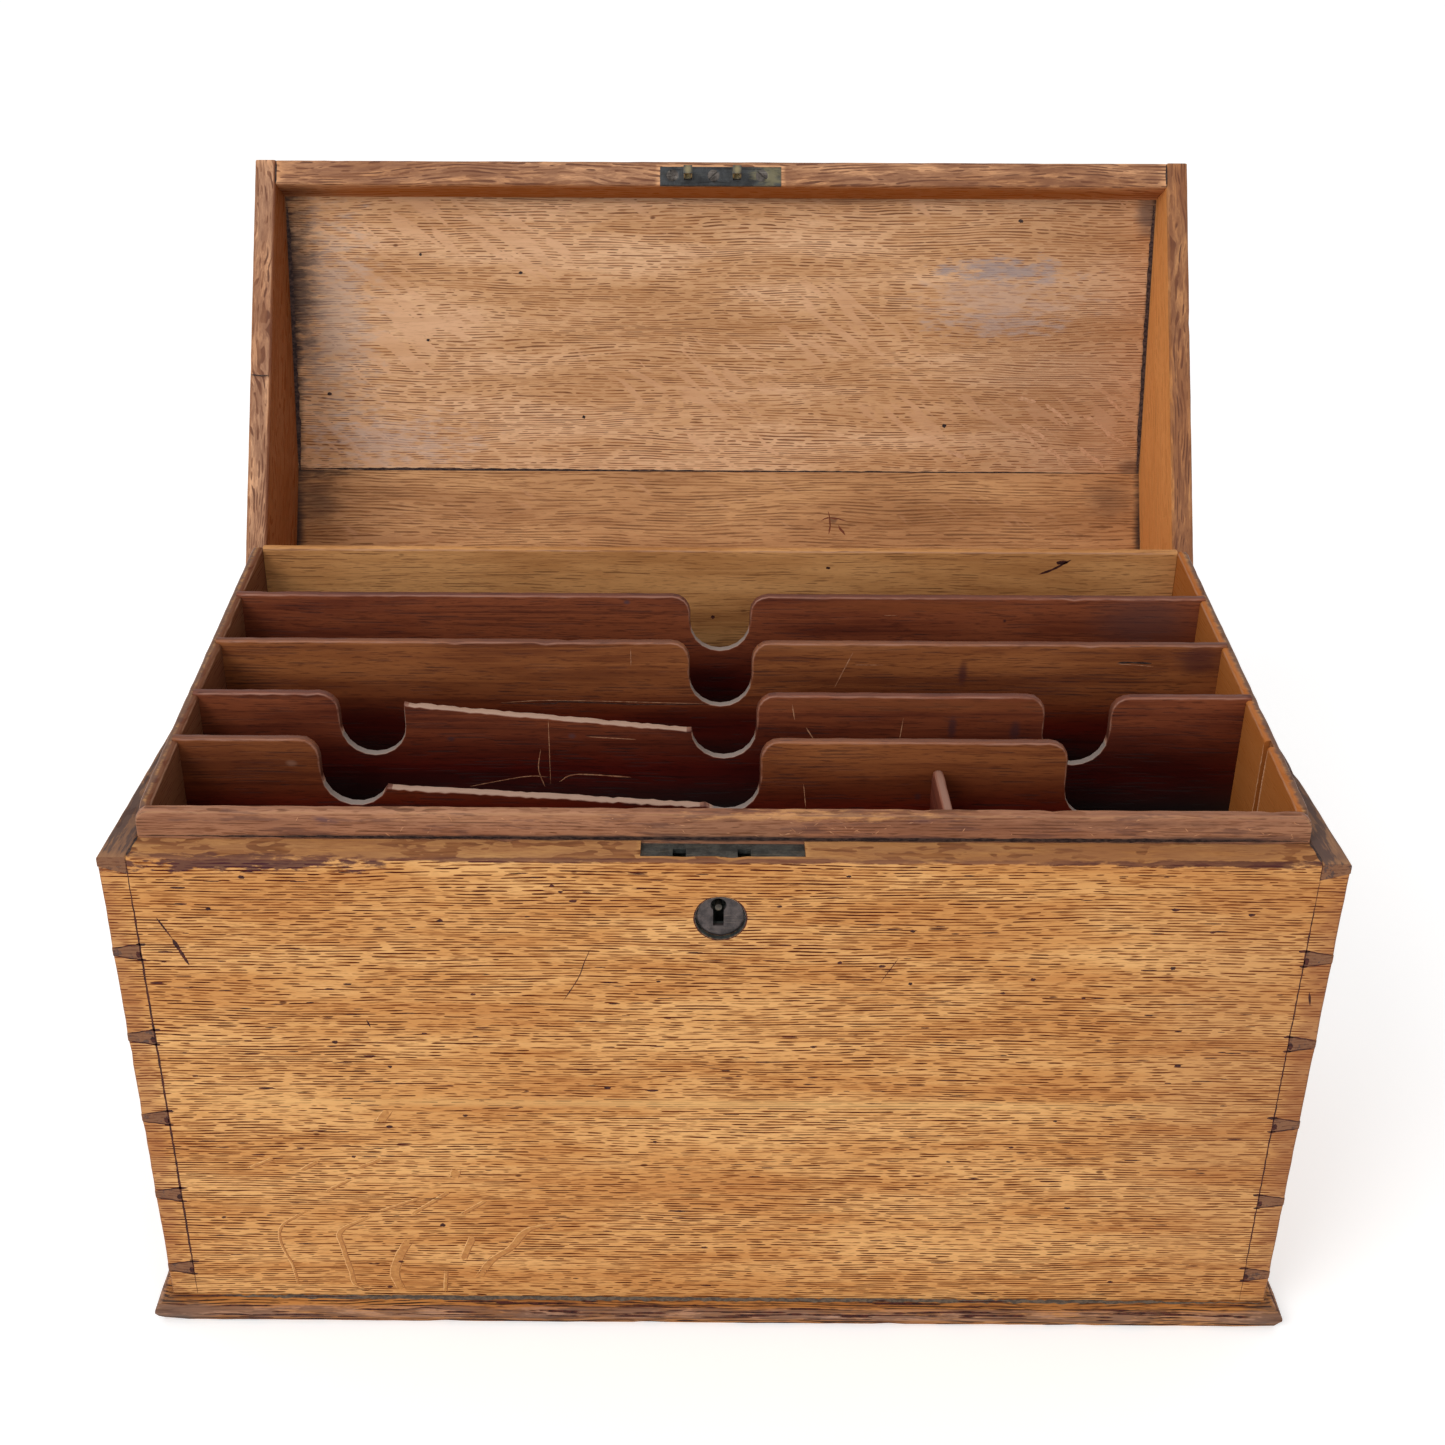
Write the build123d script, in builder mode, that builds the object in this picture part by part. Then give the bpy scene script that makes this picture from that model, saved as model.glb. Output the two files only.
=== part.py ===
from build123d import *
from math import atan, cos, degrees, radians, tan
import os

os.makedirs("parts", exist_ok=True)

# Stationery box, shown open. Millimetres, +Z up. The origin is on the surface that the box stands
# on, under the middle of the carcass. The front faces -Y. The lid is built shut and turned open
# about its hinge line when it is written out.

# ---------------------------------------------------------------- carcass
box_width = 381.0
box_depth = 185.0
wall_top = 189.0
side_thickness = 9.0
front_thickness = 11.7
back_thickness = 9.0

pin_count = 5
lowest_pin_height = 20.6
pin_pitch = 33.3
pin_base = 6.0
pin_tip = 2.9
half_pin_base = 6.0
half_pin_tip = 3.4

# ---------------------------------------------------------------- base board
base_thickness = 8.0
base_projection = 5.6
base_slope_fall = 1.6
base_nose_round = 1.6
base_undercut = 1.7
base_undercut_height = 4.2
base_screw_spacing = 120.0
base_screw_side_spacing = 70.0
base_screw_head = 3.4
base_screw_shank = 1.7
base_screw_length = 26.0

# ---------------------------------------------------------------- fitted inside
liner_thickness = 4.0
divider_thickness = 3.2
lip_rise = 9.4
fitting_slope = 7.4
liner_step = 0.8
liner_round = 1.5
divider_round = 1.2
lip_corner = 4.0
groove_depth = 2.0
groove_play = 0.1
divider_end_play = 0.1
compartment_depths = (32.9, 22.5, 28.6, 27.7)

# Finger notches of each divider, from the front: distance from the middle, and depth.
notch_radius = 11.0
notch_shoulder = 6.8
notches = (
    ((-120.7, 25.0), (1.5, 27.1), (124.4, 29.0)),
    ((-119.0, 24.0), (0.9, 24.6), (121.2, 26.5)),
    ((0.0, 25.5),),
    ((0.0, 22.5),),
)

# Broken edges of the two front dividers, as depths below each divider's own top.
break_1_left = 18.2
break_1_right = 24.6
break_1_end = 35.0
break_2_left = 4.2
break_2_bend = 7.1
break_2_bend_run = 28.0
break_2_right = 13.8

partition_from_side = 106.9
partition_drop = 8.4

# ---------------------------------------------------------------- lid
lid_seam = 0.3
lid_opening = 119.5
lid_side_thickness = 8.6
lid_front_thickness = 10.1
lid_back_thickness = 8.6
lid_board_thickness = 8.0
lid_front_clear = 16.0
lid_back_clear = 50.0
lid_kink_run = 119.8
lid_edge_round = 1.6
lid_half_pin_base = 3.6
lid_half_pin_tip = 2.4
lid_back_pin_count = 2
lid_back_pin_base = 6.0
lid_back_pin_tip = 3.0

# ---------------------------------------------------------------- hinges
hinge_inset = 2.5
hinge_end_distance = 65.5
hinge_length = 50.0
knuckle_count = 5
knuckle_gap = 0.2
barrel_radius = 2.1
barrel_clearance = 0.3
hinge_pin_radius = 1.0
hinge_pin_play = 0.05
leaf_width = 5.6
leaf_thickness = 1.3
stop_play = 0.15
hinge_screw_spacing = 17.0
hinge_screw_margin = 0.2
hinge_screw_head = 1.5
hinge_screw_shank = 0.9
hinge_screw_length = 9.0

# ---------------------------------------------------------------- lock
lock_strip = 2.5
selvedge_width = 50.5
selvedge_sink = 1.5
selvedge_thickness = 1.6
case_width = 45.0
case_height = 34.0
case_skin = 1.0
cap_ear = 6.5
cap_thickness = 1.0
lock_screw_margin = 1.35
lock_screw_head = 1.9
lock_screw_shank = 1.0
lock_screw_length = 7.5

nozzle_x = -0.6
nozzle_drop = 21.1
nozzle_hole_radius = 7.95
nozzle_ring_radius = 7.8
nozzle_ring_sink = 1.9
nozzle_disc_radius = 7.2
nozzle_disc_sink = 1.1
nozzle_disc_lift = 0.5
keyhole_x = -1.2
keyhole_drop = 17.0
keyhole_radius = 2.45
keyhole_slot = 3.3
keyhole_length = 7.6
key_pin_radius = 1.1
key_pin_drop = 18.2
key_pin_sink = 1.7

staple_size = 3.5
staple_height = 8.0
staple_skin = 0.55
staple_front = 4.2
staple_left_x = -13.35
staple_pitch = 19.95
staple_tip = 0.8
staple_eye_height = 3.0
staple_window_width = 2.3
staple_window_height = 5.7
slot_width = 4.1
slot_depth = 5.5

bolt_thickness = 1.8
bolt_throw = 4.0
bolt_play = 0.3
bolt_finger_height = 2.2
bolt_finger_length = 4.4
bolt_finger_clear = 0.4
bolt_post_width = 3.2
bolt_height = 7.6
bolt_staple_clear = 0.9
bolt_length = 33.6
stump_spacing = 14.0
stump_radius = 1.2
stump_shoulder = 2.2
talon_width = 4.6
talon_height = 2.4
spring_thickness = 0.5
spring_reach = 13.0
spring_fall = 6.0
spring_foot = 4.0
spring_bend = 1.5

link_width = 49.5
link_front = 2.2
link_thickness = 1.5
link_screw_places = ((-19.7, 70), (-2.9, -45), (16.8, 45))
link_screw_line = 5.85
link_screw_head = 2.45
link_screw_shank = 1.2
link_screw_length = 9.0
driver_slot_width = 0.6
driver_slot_depth = 0.5

# ---------------------------------------------------------------- places worked out from the sizes
half_width = box_width / 2
half_depth = box_depth / 2
inner_half_width = half_width - side_thickness
front_inside = -half_depth + front_thickness
back_inside = half_depth - back_thickness
wall_height = wall_top - base_thickness
lip_back = front_inside + liner_thickness
liner_inside = inner_half_width - liner_thickness
back_liner_front = back_inside - liner_thickness
front_plane = Plane.XZ.offset(half_depth)
back_plane = Plane.XZ.offset(-half_depth)
rim_height = wall_top + lid_seam
hinge_y = half_depth - hinge_inset
hinge_z = wall_top + lid_seam / 2
hinge_axis = Axis((0, hinge_y, hinge_z), (1, 0, 0))
hinge_spread = half_width - hinge_end_distance
hinge_places = (-hinge_spread, hinge_spread)
partition_x = liner_inside - partition_from_side

lid_slope = (lid_back_clear - lid_front_clear) / (lid_kink_run - lid_front_thickness)
lid_slope_angle = degrees(atan(lid_slope))
lid_front_height = lid_front_clear - lid_slope * lid_front_thickness
lid_inner_half_width = half_width - lid_side_thickness
kink_y = -half_depth + lid_kink_run
kink_setback = lid_board_thickness * tan(radians(lid_slope_angle) / 2)
slope_board_rise = lid_board_thickness / cos(radians(lid_slope_angle))
lid_front_low = (-half_depth, rim_height + lid_front_height)
lid_front_high = (-half_depth, rim_height + lid_front_height + slope_board_rise)
lid_kink_low = (kink_y, rim_height + lid_back_clear)
lid_kink_high = (kink_y - kink_setback, rim_height + lid_back_clear + lid_board_thickness)
lid_back_low = (half_depth, rim_height + lid_back_clear)
lid_back_high = (half_depth, rim_height + lid_back_clear + lid_board_thickness)

selvedge_top = wall_top - selvedge_sink
case_top = selvedge_top - selvedge_thickness
case_bottom = selvedge_top - case_height
case_middle = (case_bottom + case_top) / 2
strip_back = -half_depth + lock_strip
cap_front = front_inside - cap_thickness
case_inner_half_width = case_width / 2 - case_skin
nozzle_z = wall_top - nozzle_drop
keyhole_z = wall_top - keyhole_drop
key_pin_z = wall_top - key_pin_drop
cap_width = case_width + 2 * cap_ear
lock_screw_x = case_width / 2 + lock_screw_head + lock_screw_margin
lock_screw_places = [(side * lock_screw_x, case_middle) for side in (-1, 1)]

staple_y = -half_depth + staple_front + staple_size / 2
staple_places = (staple_left_x, staple_left_x + staple_pitch)
staple_bottom = rim_height - staple_height
eye_bottom = staple_bottom + staple_tip
eye_depth = staple_size - 2 * staple_skin
eye_middle = eye_bottom + staple_eye_height / 2
bolt_front = staple_y - bolt_thickness / 2
bolt_back = staple_y + bolt_thickness / 2
bolt_top = staple_bottom - bolt_staple_clear
bolt_bottom = bolt_top - bolt_height
bolt_middle = (bolt_bottom + bolt_top) / 2
stump_places = [(x - bolt_throw / 2, bolt_middle) for x in (-stump_spacing / 2, stump_spacing / 2)]

link_depth = lid_front_thickness - link_front
link_middle = -half_depth + link_front + link_depth / 2
link_screw_y = -half_depth + link_screw_line


def fitting_top(y):
    """Height of the fitted inside's sloping top line at a depth y."""
    lip_middle = front_inside + liner_thickness / 2
    return wall_top + lip_rise + (y - lip_middle) * tan(radians(fitting_slope))


def divider_front(number):
    """Front face of a divider, counted from 1 at the front."""
    return lip_back + sum(compartment_depths[:number]) + (number - 1) * divider_thickness


# ---------------------------------------------------------------- shared shapes
def corner_tails(plane, inner, outer, low, high, pins):
    """Faces of the tails at one corner: the board's end from low to high, less its dovetail pins.

    Each pin is its middle height, its height at the inner face and its height at the outer face.
    """
    with BuildSketch(plane) as tails:
        with BuildLine():
            Polyline((inner, low), (outer, low), (outer, high), (inner, high), close=True)
        make_face()
        for middle, base, tip in pins:
            with BuildLine():
                Polyline(
                    (inner, middle - base / 2),
                    (outer, middle - tip / 2),
                    (outer, middle + tip / 2),
                    (inner, middle + base / 2),
                    close=True,
                )
            make_face(mode=Mode.SUBTRACT)
    return tails.sketch.faces()


def wall_tails(plane):
    """The carcass's tails at both its corners, round five pins and a half pin at the top."""
    pins = [(lowest_pin_height + n * pin_pitch, pin_base, pin_tip) for n in range(pin_count)]
    pins.append((wall_top, 2 * half_pin_base, 2 * half_pin_tip))
    left = corner_tails(plane, -inner_half_width, -half_width, base_thickness, wall_top, pins)
    right = corner_tails(plane, inner_half_width, half_width, base_thickness, wall_top, pins)
    return [*left, *right]


def lid_tails(plane, height, pin_total):
    """The lid's tails at both its corners, between two half pins, round the pins between them."""
    top = rim_height + height
    pins = [(z, 2 * lid_half_pin_base, 2 * lid_half_pin_tip) for z in (rim_height, top)]
    for n in range(pin_total):
        middle = rim_height + height * (n + 1) / (pin_total + 1)
        pins.append((middle, lid_back_pin_base, lid_back_pin_tip))
    left = corner_tails(plane, -lid_inner_half_width, -half_width, rim_height, top, pins)
    right = corner_tails(plane, lid_inner_half_width, half_width, rim_height, top, pins)
    return [*left, *right]


def countersunk_screws(plane, places, into, head, shank, length, turns=()):
    """Screws whose heads lie flush on a plane; into is the sign of the way they point from it.

    With turns, each head has a driver slot turned by its own angle. Without, the same shape
    without slots is the screws' holes.
    """
    with BuildPart() as screws:
        with BuildSketch(plane):
            with Locations(*places):
                Circle(head)
        extrude(amount=into * (head - shank), taper=45)
        with BuildSketch(plane):
            with Locations(*places):
                Circle(shank)
        extrude(amount=into * length)
        for (x, y), turn in zip(places, turns):
            with BuildSketch(plane):
                with Locations(Location((x, y, 0), (0, 0, turn))):
                    Rectangle(3 * head, driver_slot_width)
            extrude(amount=into * driver_slot_depth, mode=Mode.SUBTRACT)
    return screws.part


def stop_bevel(direction):
    """What the bevel that stops the lid takes off a back edge; direction is -1 below the hinge line."""
    drop = hinge_inset * tan(radians(lid_opening / 2))
    play = stop_play / cos(radians(lid_opening / 2))
    with BuildPart() as wedge:
        with BuildSketch(Plane.YZ):
            with BuildLine():
                Polyline(
                    (hinge_y, hinge_z),
                    (hinge_y, hinge_z + direction * play),
                    (half_depth, hinge_z + direction * (play + drop)),
                    (half_depth, hinge_z),
                    close=True,
                )
            make_face()
        extrude(amount=half_width, both=True)
    return wedge.part


def hinge_seats(leaf_bottom):
    """Both hinges' leaf recesses, and the room for their barrels."""
    with BuildPart() as seats:
        with BuildSketch(Plane.XY.offset(leaf_bottom)):
            with Locations(*[(x, hinge_y - leaf_width / 2) for x in hinge_places]):
                Rectangle(hinge_length, leaf_width)
        extrude(amount=leaf_thickness)
        for x in hinge_places:
            with BuildSketch(Plane.YZ.offset(x)):
                with Locations((hinge_y, hinge_z)):
                    Circle(barrel_radius + barrel_clearance)
            extrude(amount=hinge_length / 2 + barrel_clearance, both=True)
    return seats.part


hinge_screw_y = hinge_y - leaf_width + hinge_screw_head + hinge_screw_margin
hinge_screw_steps = (-hinge_screw_spacing, 0, hinge_screw_spacing)
hinge_screw_places = [(x + step, hinge_screw_y) for x in hinge_places for step in hinge_screw_steps]
hinge_screw_size = (hinge_screw_head, hinge_screw_shank, hinge_screw_length)
link_screw_centres = [(x, link_screw_y) for x, turn in link_screw_places]
base_screw_lines = (-half_depth + front_thickness / 2, half_depth - back_thickness / 2)
base_screw_places = [
    *[(x, y) for y in base_screw_lines for x in (-base_screw_spacing, 0, base_screw_spacing)],
    *[
        (side * (half_width - side_thickness / 2), y)
        for side in (-1, 1)
        for y in (-base_screw_side_spacing / 2, base_screw_side_spacing / 2)
    ],
]
base_screw_size = (base_screw_head, base_screw_shank, base_screw_length)
link_screw_size = (link_screw_head, link_screw_shank, link_screw_length)
lock_screw_size = (lock_screw_head, lock_screw_shank, lock_screw_length)
box_leaf_plane = Plane.XY.offset(wall_top)
rim_plane = Plane.XY.offset(rim_height)
cap_plane = Plane.XZ.offset(-front_inside)

front_tails = wall_tails(front_plane)
back_tails = wall_tails(back_plane)
lid_front_tails = lid_tails(front_plane, lid_front_height, 0)
lid_back_tails = lid_tails(back_plane, lid_back_clear, lid_back_pin_count)
box_bevel = stop_bevel(-1)
lid_bevel = stop_bevel(1)
box_hinge_seats = hinge_seats(wall_top - leaf_thickness)
lid_hinge_seats = hinge_seats(rim_height)
box_hinge_holes = countersunk_screws(box_leaf_plane, hinge_screw_places, -1, *hinge_screw_size)
lid_hinge_holes = countersunk_screws(rim_plane, hinge_screw_places, 1, *hinge_screw_size)
link_holes = countersunk_screws(rim_plane, link_screw_centres, 1, *link_screw_size)
lock_holes = countersunk_screws(cap_plane, lock_screw_places, 1, *lock_screw_size)
base_screw_holes = countersunk_screws(Plane.XY, base_screw_places, 1, *base_screw_size)

with BuildSketch(Plane.XZ) as keyhole:
    with Locations((keyhole_x, keyhole_z)):
        Circle(keyhole_radius)
    with Locations((keyhole_x, keyhole_z - keyhole_length / 2)):
        Rectangle(keyhole_slot, keyhole_length)

# ---------------------------------------------------------------- carcass walls
with BuildPart() as front_wall:
    with BuildSketch(front_plane):
        with Locations((0, base_thickness + wall_height / 2)):
            Rectangle(2 * inner_half_width, wall_height)
    extrude(amount=-front_thickness)
    extrude(to_extrude=front_tails, amount=-front_thickness)
    with BuildSketch(cap_plane):
        with Locations((0, (case_top + wall_top) / 2)):
            Rectangle(selvedge_width, wall_top - case_top)
        with Locations((0, case_middle)):
            Rectangle(case_width, case_top - case_bottom)
    extrude(amount=front_inside - strip_back, mode=Mode.SUBTRACT)
    with BuildSketch(cap_plane):
        with Locations((0, case_middle)):
            Rectangle(cap_width, case_top - case_bottom)
    extrude(amount=cap_thickness, mode=Mode.SUBTRACT)
    with BuildSketch(front_plane):
        with Locations((nozzle_x, nozzle_z)):
            Circle(nozzle_hole_radius)
    extrude(amount=-lock_strip, mode=Mode.SUBTRACT)
    add(lock_holes, mode=Mode.SUBTRACT)
    add(base_screw_holes, mode=Mode.SUBTRACT)

with BuildPart() as back_wall:
    with BuildSketch(back_plane):
        with Locations((0, base_thickness + wall_height / 2)):
            Rectangle(2 * inner_half_width, wall_height)
    extrude(amount=back_thickness)
    extrude(to_extrude=back_tails, amount=back_thickness)
    add(box_bevel, mode=Mode.SUBTRACT)
    add(box_hinge_seats, mode=Mode.SUBTRACT)
    add(box_hinge_holes, mode=Mode.SUBTRACT)
    add(base_screw_holes, mode=Mode.SUBTRACT)


def side_wall(side):
    """A side board of the carcass, whose pins fill the room between the front's and back's tails."""
    with BuildPart() as board:
        with BuildSketch(Plane.YZ.offset(side * inner_half_width)):
            with Locations((0, base_thickness + wall_height / 2)):
                Rectangle(box_depth, wall_height)
        extrude(amount=side * side_thickness)
        extrude(to_extrude=front_tails, amount=-front_thickness, mode=Mode.SUBTRACT)
        extrude(to_extrude=back_tails, amount=back_thickness, mode=Mode.SUBTRACT)
        add(box_bevel, mode=Mode.SUBTRACT)
        add(base_screw_holes, mode=Mode.SUBTRACT)
    return board


left_wall = side_wall(-1)
right_wall = side_wall(1)

# ---------------------------------------------------------------- base board
nose_height = base_thickness - base_slope_fall
base_outline = (
    (0, base_projection - base_undercut),
    (base_undercut_height, base_projection),
    (nose_height, base_projection),
    (base_thickness, 0),
)
with BuildPart() as base_board:
    for lower, upper in zip(base_outline, base_outline[1:]):
        for height, projection in (lower, upper):
            with BuildSketch(Plane.XY.offset(height)):
                Rectangle(box_width + 2 * projection, box_depth + 2 * projection)
        loft()
    nose = base_board.edges().filter_by(lambda edge: abs(edge.center().Z - nose_height) < 0.01)
    fillet(nose, base_nose_round)
    add(base_screw_holes, mode=Mode.SUBTRACT)

base_turns = (10, 75, -30, 50, 140, -60, 25, 95, -15, 60)
base_screws = countersunk_screws(Plane.XY, base_screw_places, 1, *base_screw_size, base_turns)

# ---------------------------------------------------------------- liners
lip_top = fitting_top(front_inside + liner_thickness / 2)
back_liner_top = fitting_top(back_liner_front) - liner_step

with BuildPart() as front_liner:
    with BuildSketch(cap_plane) as board:
        with Locations((0, (base_thickness + lip_top) / 2)):
            Rectangle(2 * inner_half_width, lip_top - base_thickness)
        fillet(board.vertices().group_by(Axis.Y)[-1], lip_corner)
    extrude(amount=-liner_thickness)
    fillet(front_liner.edges().filter_by(Axis.X).group_by(Axis.Z)[-1], liner_round)

with BuildPart() as back_liner:
    with BuildSketch(Plane.XZ.offset(-back_liner_front)):
        with Locations((0, (base_thickness + back_liner_top) / 2)):
            Rectangle(2 * liner_inside, back_liner_top - base_thickness)
    extrude(amount=-liner_thickness)
    fillet(back_liner.edges().filter_by(Axis.X).group_by(Axis.Z)[-1], liner_round)


def side_liner(side):
    """A side liner, with its sloping round-edged top and a groove for each divider."""
    with BuildPart() as liner:
        with BuildSketch(Plane.YZ.offset(side * liner_inside)) as board:
            with BuildLine():
                Polyline(
                    (lip_back, base_thickness),
                    (lip_back, fitting_top(lip_back) - liner_step),
                    (back_inside, fitting_top(back_inside) - liner_step),
                    (back_inside, base_thickness),
                    close=True,
                )
            make_face()
            fillet(board.vertices().filter_by(lambda corner: corner.Y > base_thickness + 1), lip_corner)
        extrude(amount=side * liner_thickness)
        sloping_faces = liner.faces().filter_by(Axis.X, reverse=True).filter_by(Axis.Y, reverse=True)
        crest = sloping_faces.sort_by(Axis.Z)[-1]
        fillet(crest.edges().filter_by(Axis.X, reverse=True), liner_round)
        for number in range(1, len(compartment_depths) + 1):
            with BuildSketch(Plane.XY.offset(base_thickness)):
                with Locations((side * liner_inside, divider_front(number) + divider_thickness / 2)):
                    Rectangle(2 * groove_depth, divider_thickness + 2 * groove_play)
            extrude(amount=fitting_top(back_inside) - base_thickness, mode=Mode.SUBTRACT)
    return liner


left_liner = side_liner(-1)
right_liner = side_liner(1)


# ---------------------------------------------------------------- dividers
def divider(number, losses):
    """A letter divider, less its finger notches and less the outlines of any lost wood.

    Each loss is a list of points: a distance from the middle and a depth below the divider's top.
    """
    front = divider_front(number)
    top = fitting_top(front + divider_thickness / 2)
    half_length = liner_inside + groove_depth - divider_end_play
    with BuildPart() as board:
        with BuildSketch(Plane.XZ.offset(-front)) as outline:
            with Locations((0, (base_thickness + top) / 2)):
                Rectangle(2 * half_length, top - base_thickness)
            for x, depth in notches[number - 1]:
                with Locations((x, top - depth + notch_radius)):
                    Circle(notch_radius, mode=Mode.SUBTRACT)
                with Locations((x, top - (depth - notch_radius) / 2)):
                    Rectangle(2 * notch_radius, depth - notch_radius, mode=Mode.SUBTRACT)
            fillet(outline.vertices().group_by(Axis.Y)[-1].sort_by(Axis.X)[1:-1], notch_shoulder)
        extrude(amount=-divider_thickness)
        fillet(board.edges().filter_by(Axis.X).group_by(Axis.Z)[-1], divider_round)
        for loss in losses:
            with BuildSketch(Plane.XZ.offset(-front)):
                with BuildLine():
                    Polyline(*[(x, top - depth) for x, depth in loss], close=True)
                make_face()
            extrude(amount=-divider_thickness, mode=Mode.SUBTRACT)
    return board


left_1, middle_1, right_1 = [x for x, depth in notches[0]]
left_2, middle_2, right_2 = [x for x, depth in notches[1]]
above = -divider_round
right_notch_depth = notches[0][2][1]
lost_1 = [
    [
        (left_1 + notch_radius, above),
        (left_1 + notch_radius, break_1_left),
        (middle_1 - notch_radius, break_1_right),
        (middle_1 - notch_radius, above),
    ],
    [
        (right_1, above),
        (right_1, right_notch_depth),
        (inner_half_width, break_1_end),
        (inner_half_width, above),
    ],
]
lost_2 = [
    [
        (left_2 + notch_radius, above),
        (left_2 + notch_radius, break_2_left),
        (left_2 + notch_radius + break_2_bend_run, break_2_bend),
        (middle_2 - notch_radius, break_2_right),
        (middle_2 - notch_radius, above),
    ]
]
letter_divider_1 = divider(1, lost_1)
letter_divider_2 = divider(2, lost_2)
letter_divider_3 = divider(3, [])
letter_divider_4 = divider(4, [])

partition_top = fitting_top(divider_front(1)) - partition_drop
with BuildPart() as cross_partition:
    with BuildSketch(Plane.XZ.offset(-lip_back)) as section:
        with Locations((partition_x, (base_thickness + partition_top) / 2)):
            Rectangle(divider_thickness, partition_top - base_thickness)
        fillet(section.vertices().group_by(Axis.Y)[-1], divider_round)
    extrude(amount=-compartment_depths[0])

# ---------------------------------------------------------------- lid, built shut
with BuildPart() as lid_front_rail:
    with BuildSketch(Plane.YZ):
        with BuildLine():
            Polyline(
                (-half_depth, rim_height),
                lid_front_low,
                (-half_depth + lid_front_thickness, rim_height + lid_front_clear),
                (-half_depth + lid_front_thickness, rim_height),
                close=True,
            )
        make_face()
    extrude(amount=lid_inner_half_width, both=True)
    extrude(to_extrude=lid_front_tails, amount=-lid_front_thickness)
    with BuildSketch(rim_plane):
        with Locations((0, link_middle)):
            Rectangle(link_width, link_depth)
    extrude(amount=link_thickness, mode=Mode.SUBTRACT)
    add(link_holes, mode=Mode.SUBTRACT)

with BuildPart() as lid_back_rail:
    with BuildSketch(back_plane):
        with Locations((0, rim_height + lid_back_clear / 2)):
            Rectangle(2 * lid_inner_half_width, lid_back_clear)
    extrude(amount=lid_back_thickness)
    extrude(to_extrude=lid_back_tails, amount=lid_back_thickness)
    add(lid_bevel, mode=Mode.SUBTRACT)
    add(lid_hinge_seats, mode=Mode.SUBTRACT)
    add(lid_hinge_holes, mode=Mode.SUBTRACT)


def lid_side_rail(side):
    """A side rail of the lid, whose upper edge follows the two boards."""
    with BuildPart() as rail:
        with BuildSketch(Plane.YZ.offset(side * lid_inner_half_width)):
            with BuildLine():
                Polyline(
                    (-half_depth, rim_height),
                    lid_front_low,
                    lid_kink_low,
                    lid_back_low,
                    (half_depth, rim_height),
                    close=True,
                )
            make_face()
        extrude(amount=side * lid_side_thickness)
        extrude(to_extrude=lid_front_tails, amount=-lid_front_thickness, mode=Mode.SUBTRACT)
        extrude(to_extrude=lid_back_tails, amount=lid_back_thickness, mode=Mode.SUBTRACT)
        add(lid_bevel, mode=Mode.SUBTRACT)
    return rail


lid_left_rail = lid_side_rail(-1)
lid_right_rail = lid_side_rail(1)


def lid_board(corners):
    """A top board of the lid, over its outline in side view, with its outer top edges rounded."""
    with BuildPart() as board:
        with BuildSketch(Plane.YZ):
            with BuildLine():
                Polyline(*corners, close=True)
            make_face()
        extrude(amount=half_width, both=True)
        top = board.faces().filter_by(Axis.X, reverse=True).sort_by(Axis.Z)[-1]
        hidden = Axis((0, *lid_kink_high), (1, 0, 0))
        edges = [edge for edge in top.edges() if edge.distance_to(hidden.position) > lid_edge_round]
        fillet(edges, lid_edge_round)
    return board


lid_slope_board = lid_board([lid_front_low, lid_kink_low, lid_kink_high, lid_front_high])
lid_flat_board = lid_board([lid_kink_low, lid_back_low, lid_back_high, lid_kink_high])

# ---------------------------------------------------------------- link plate
with BuildPart() as link_plate:
    with BuildSketch(rim_plane):
        with Locations((0, link_middle)):
            Rectangle(link_width, link_depth)
    extrude(amount=link_thickness)
    with BuildSketch(Plane.XY.offset(staple_bottom)):
        with Locations(*[(x, staple_y) for x in staple_places]):
            Rectangle(staple_size, staple_size)
    extrude(amount=staple_height)
    with BuildSketch(Plane.YZ.offset(-link_width / 2)):
        with Locations((staple_y, eye_middle)):
            Rectangle(eye_depth, staple_eye_height)
    extrude(amount=link_width, mode=Mode.SUBTRACT)
    with BuildSketch(Plane.XZ.offset(-staple_y - staple_size / 2)):
        with Locations(*[(x, eye_bottom + staple_window_height / 2) for x in staple_places]):
            Rectangle(staple_window_width, staple_window_height)
    extrude(amount=staple_size - staple_skin, mode=Mode.SUBTRACT)
    add(link_holes, mode=Mode.SUBTRACT)

link_turns = [turn for x, turn in link_screw_places]
link_plate_screws = countersunk_screws(rim_plane, link_screw_centres, 1, *link_screw_size, link_turns)

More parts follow.
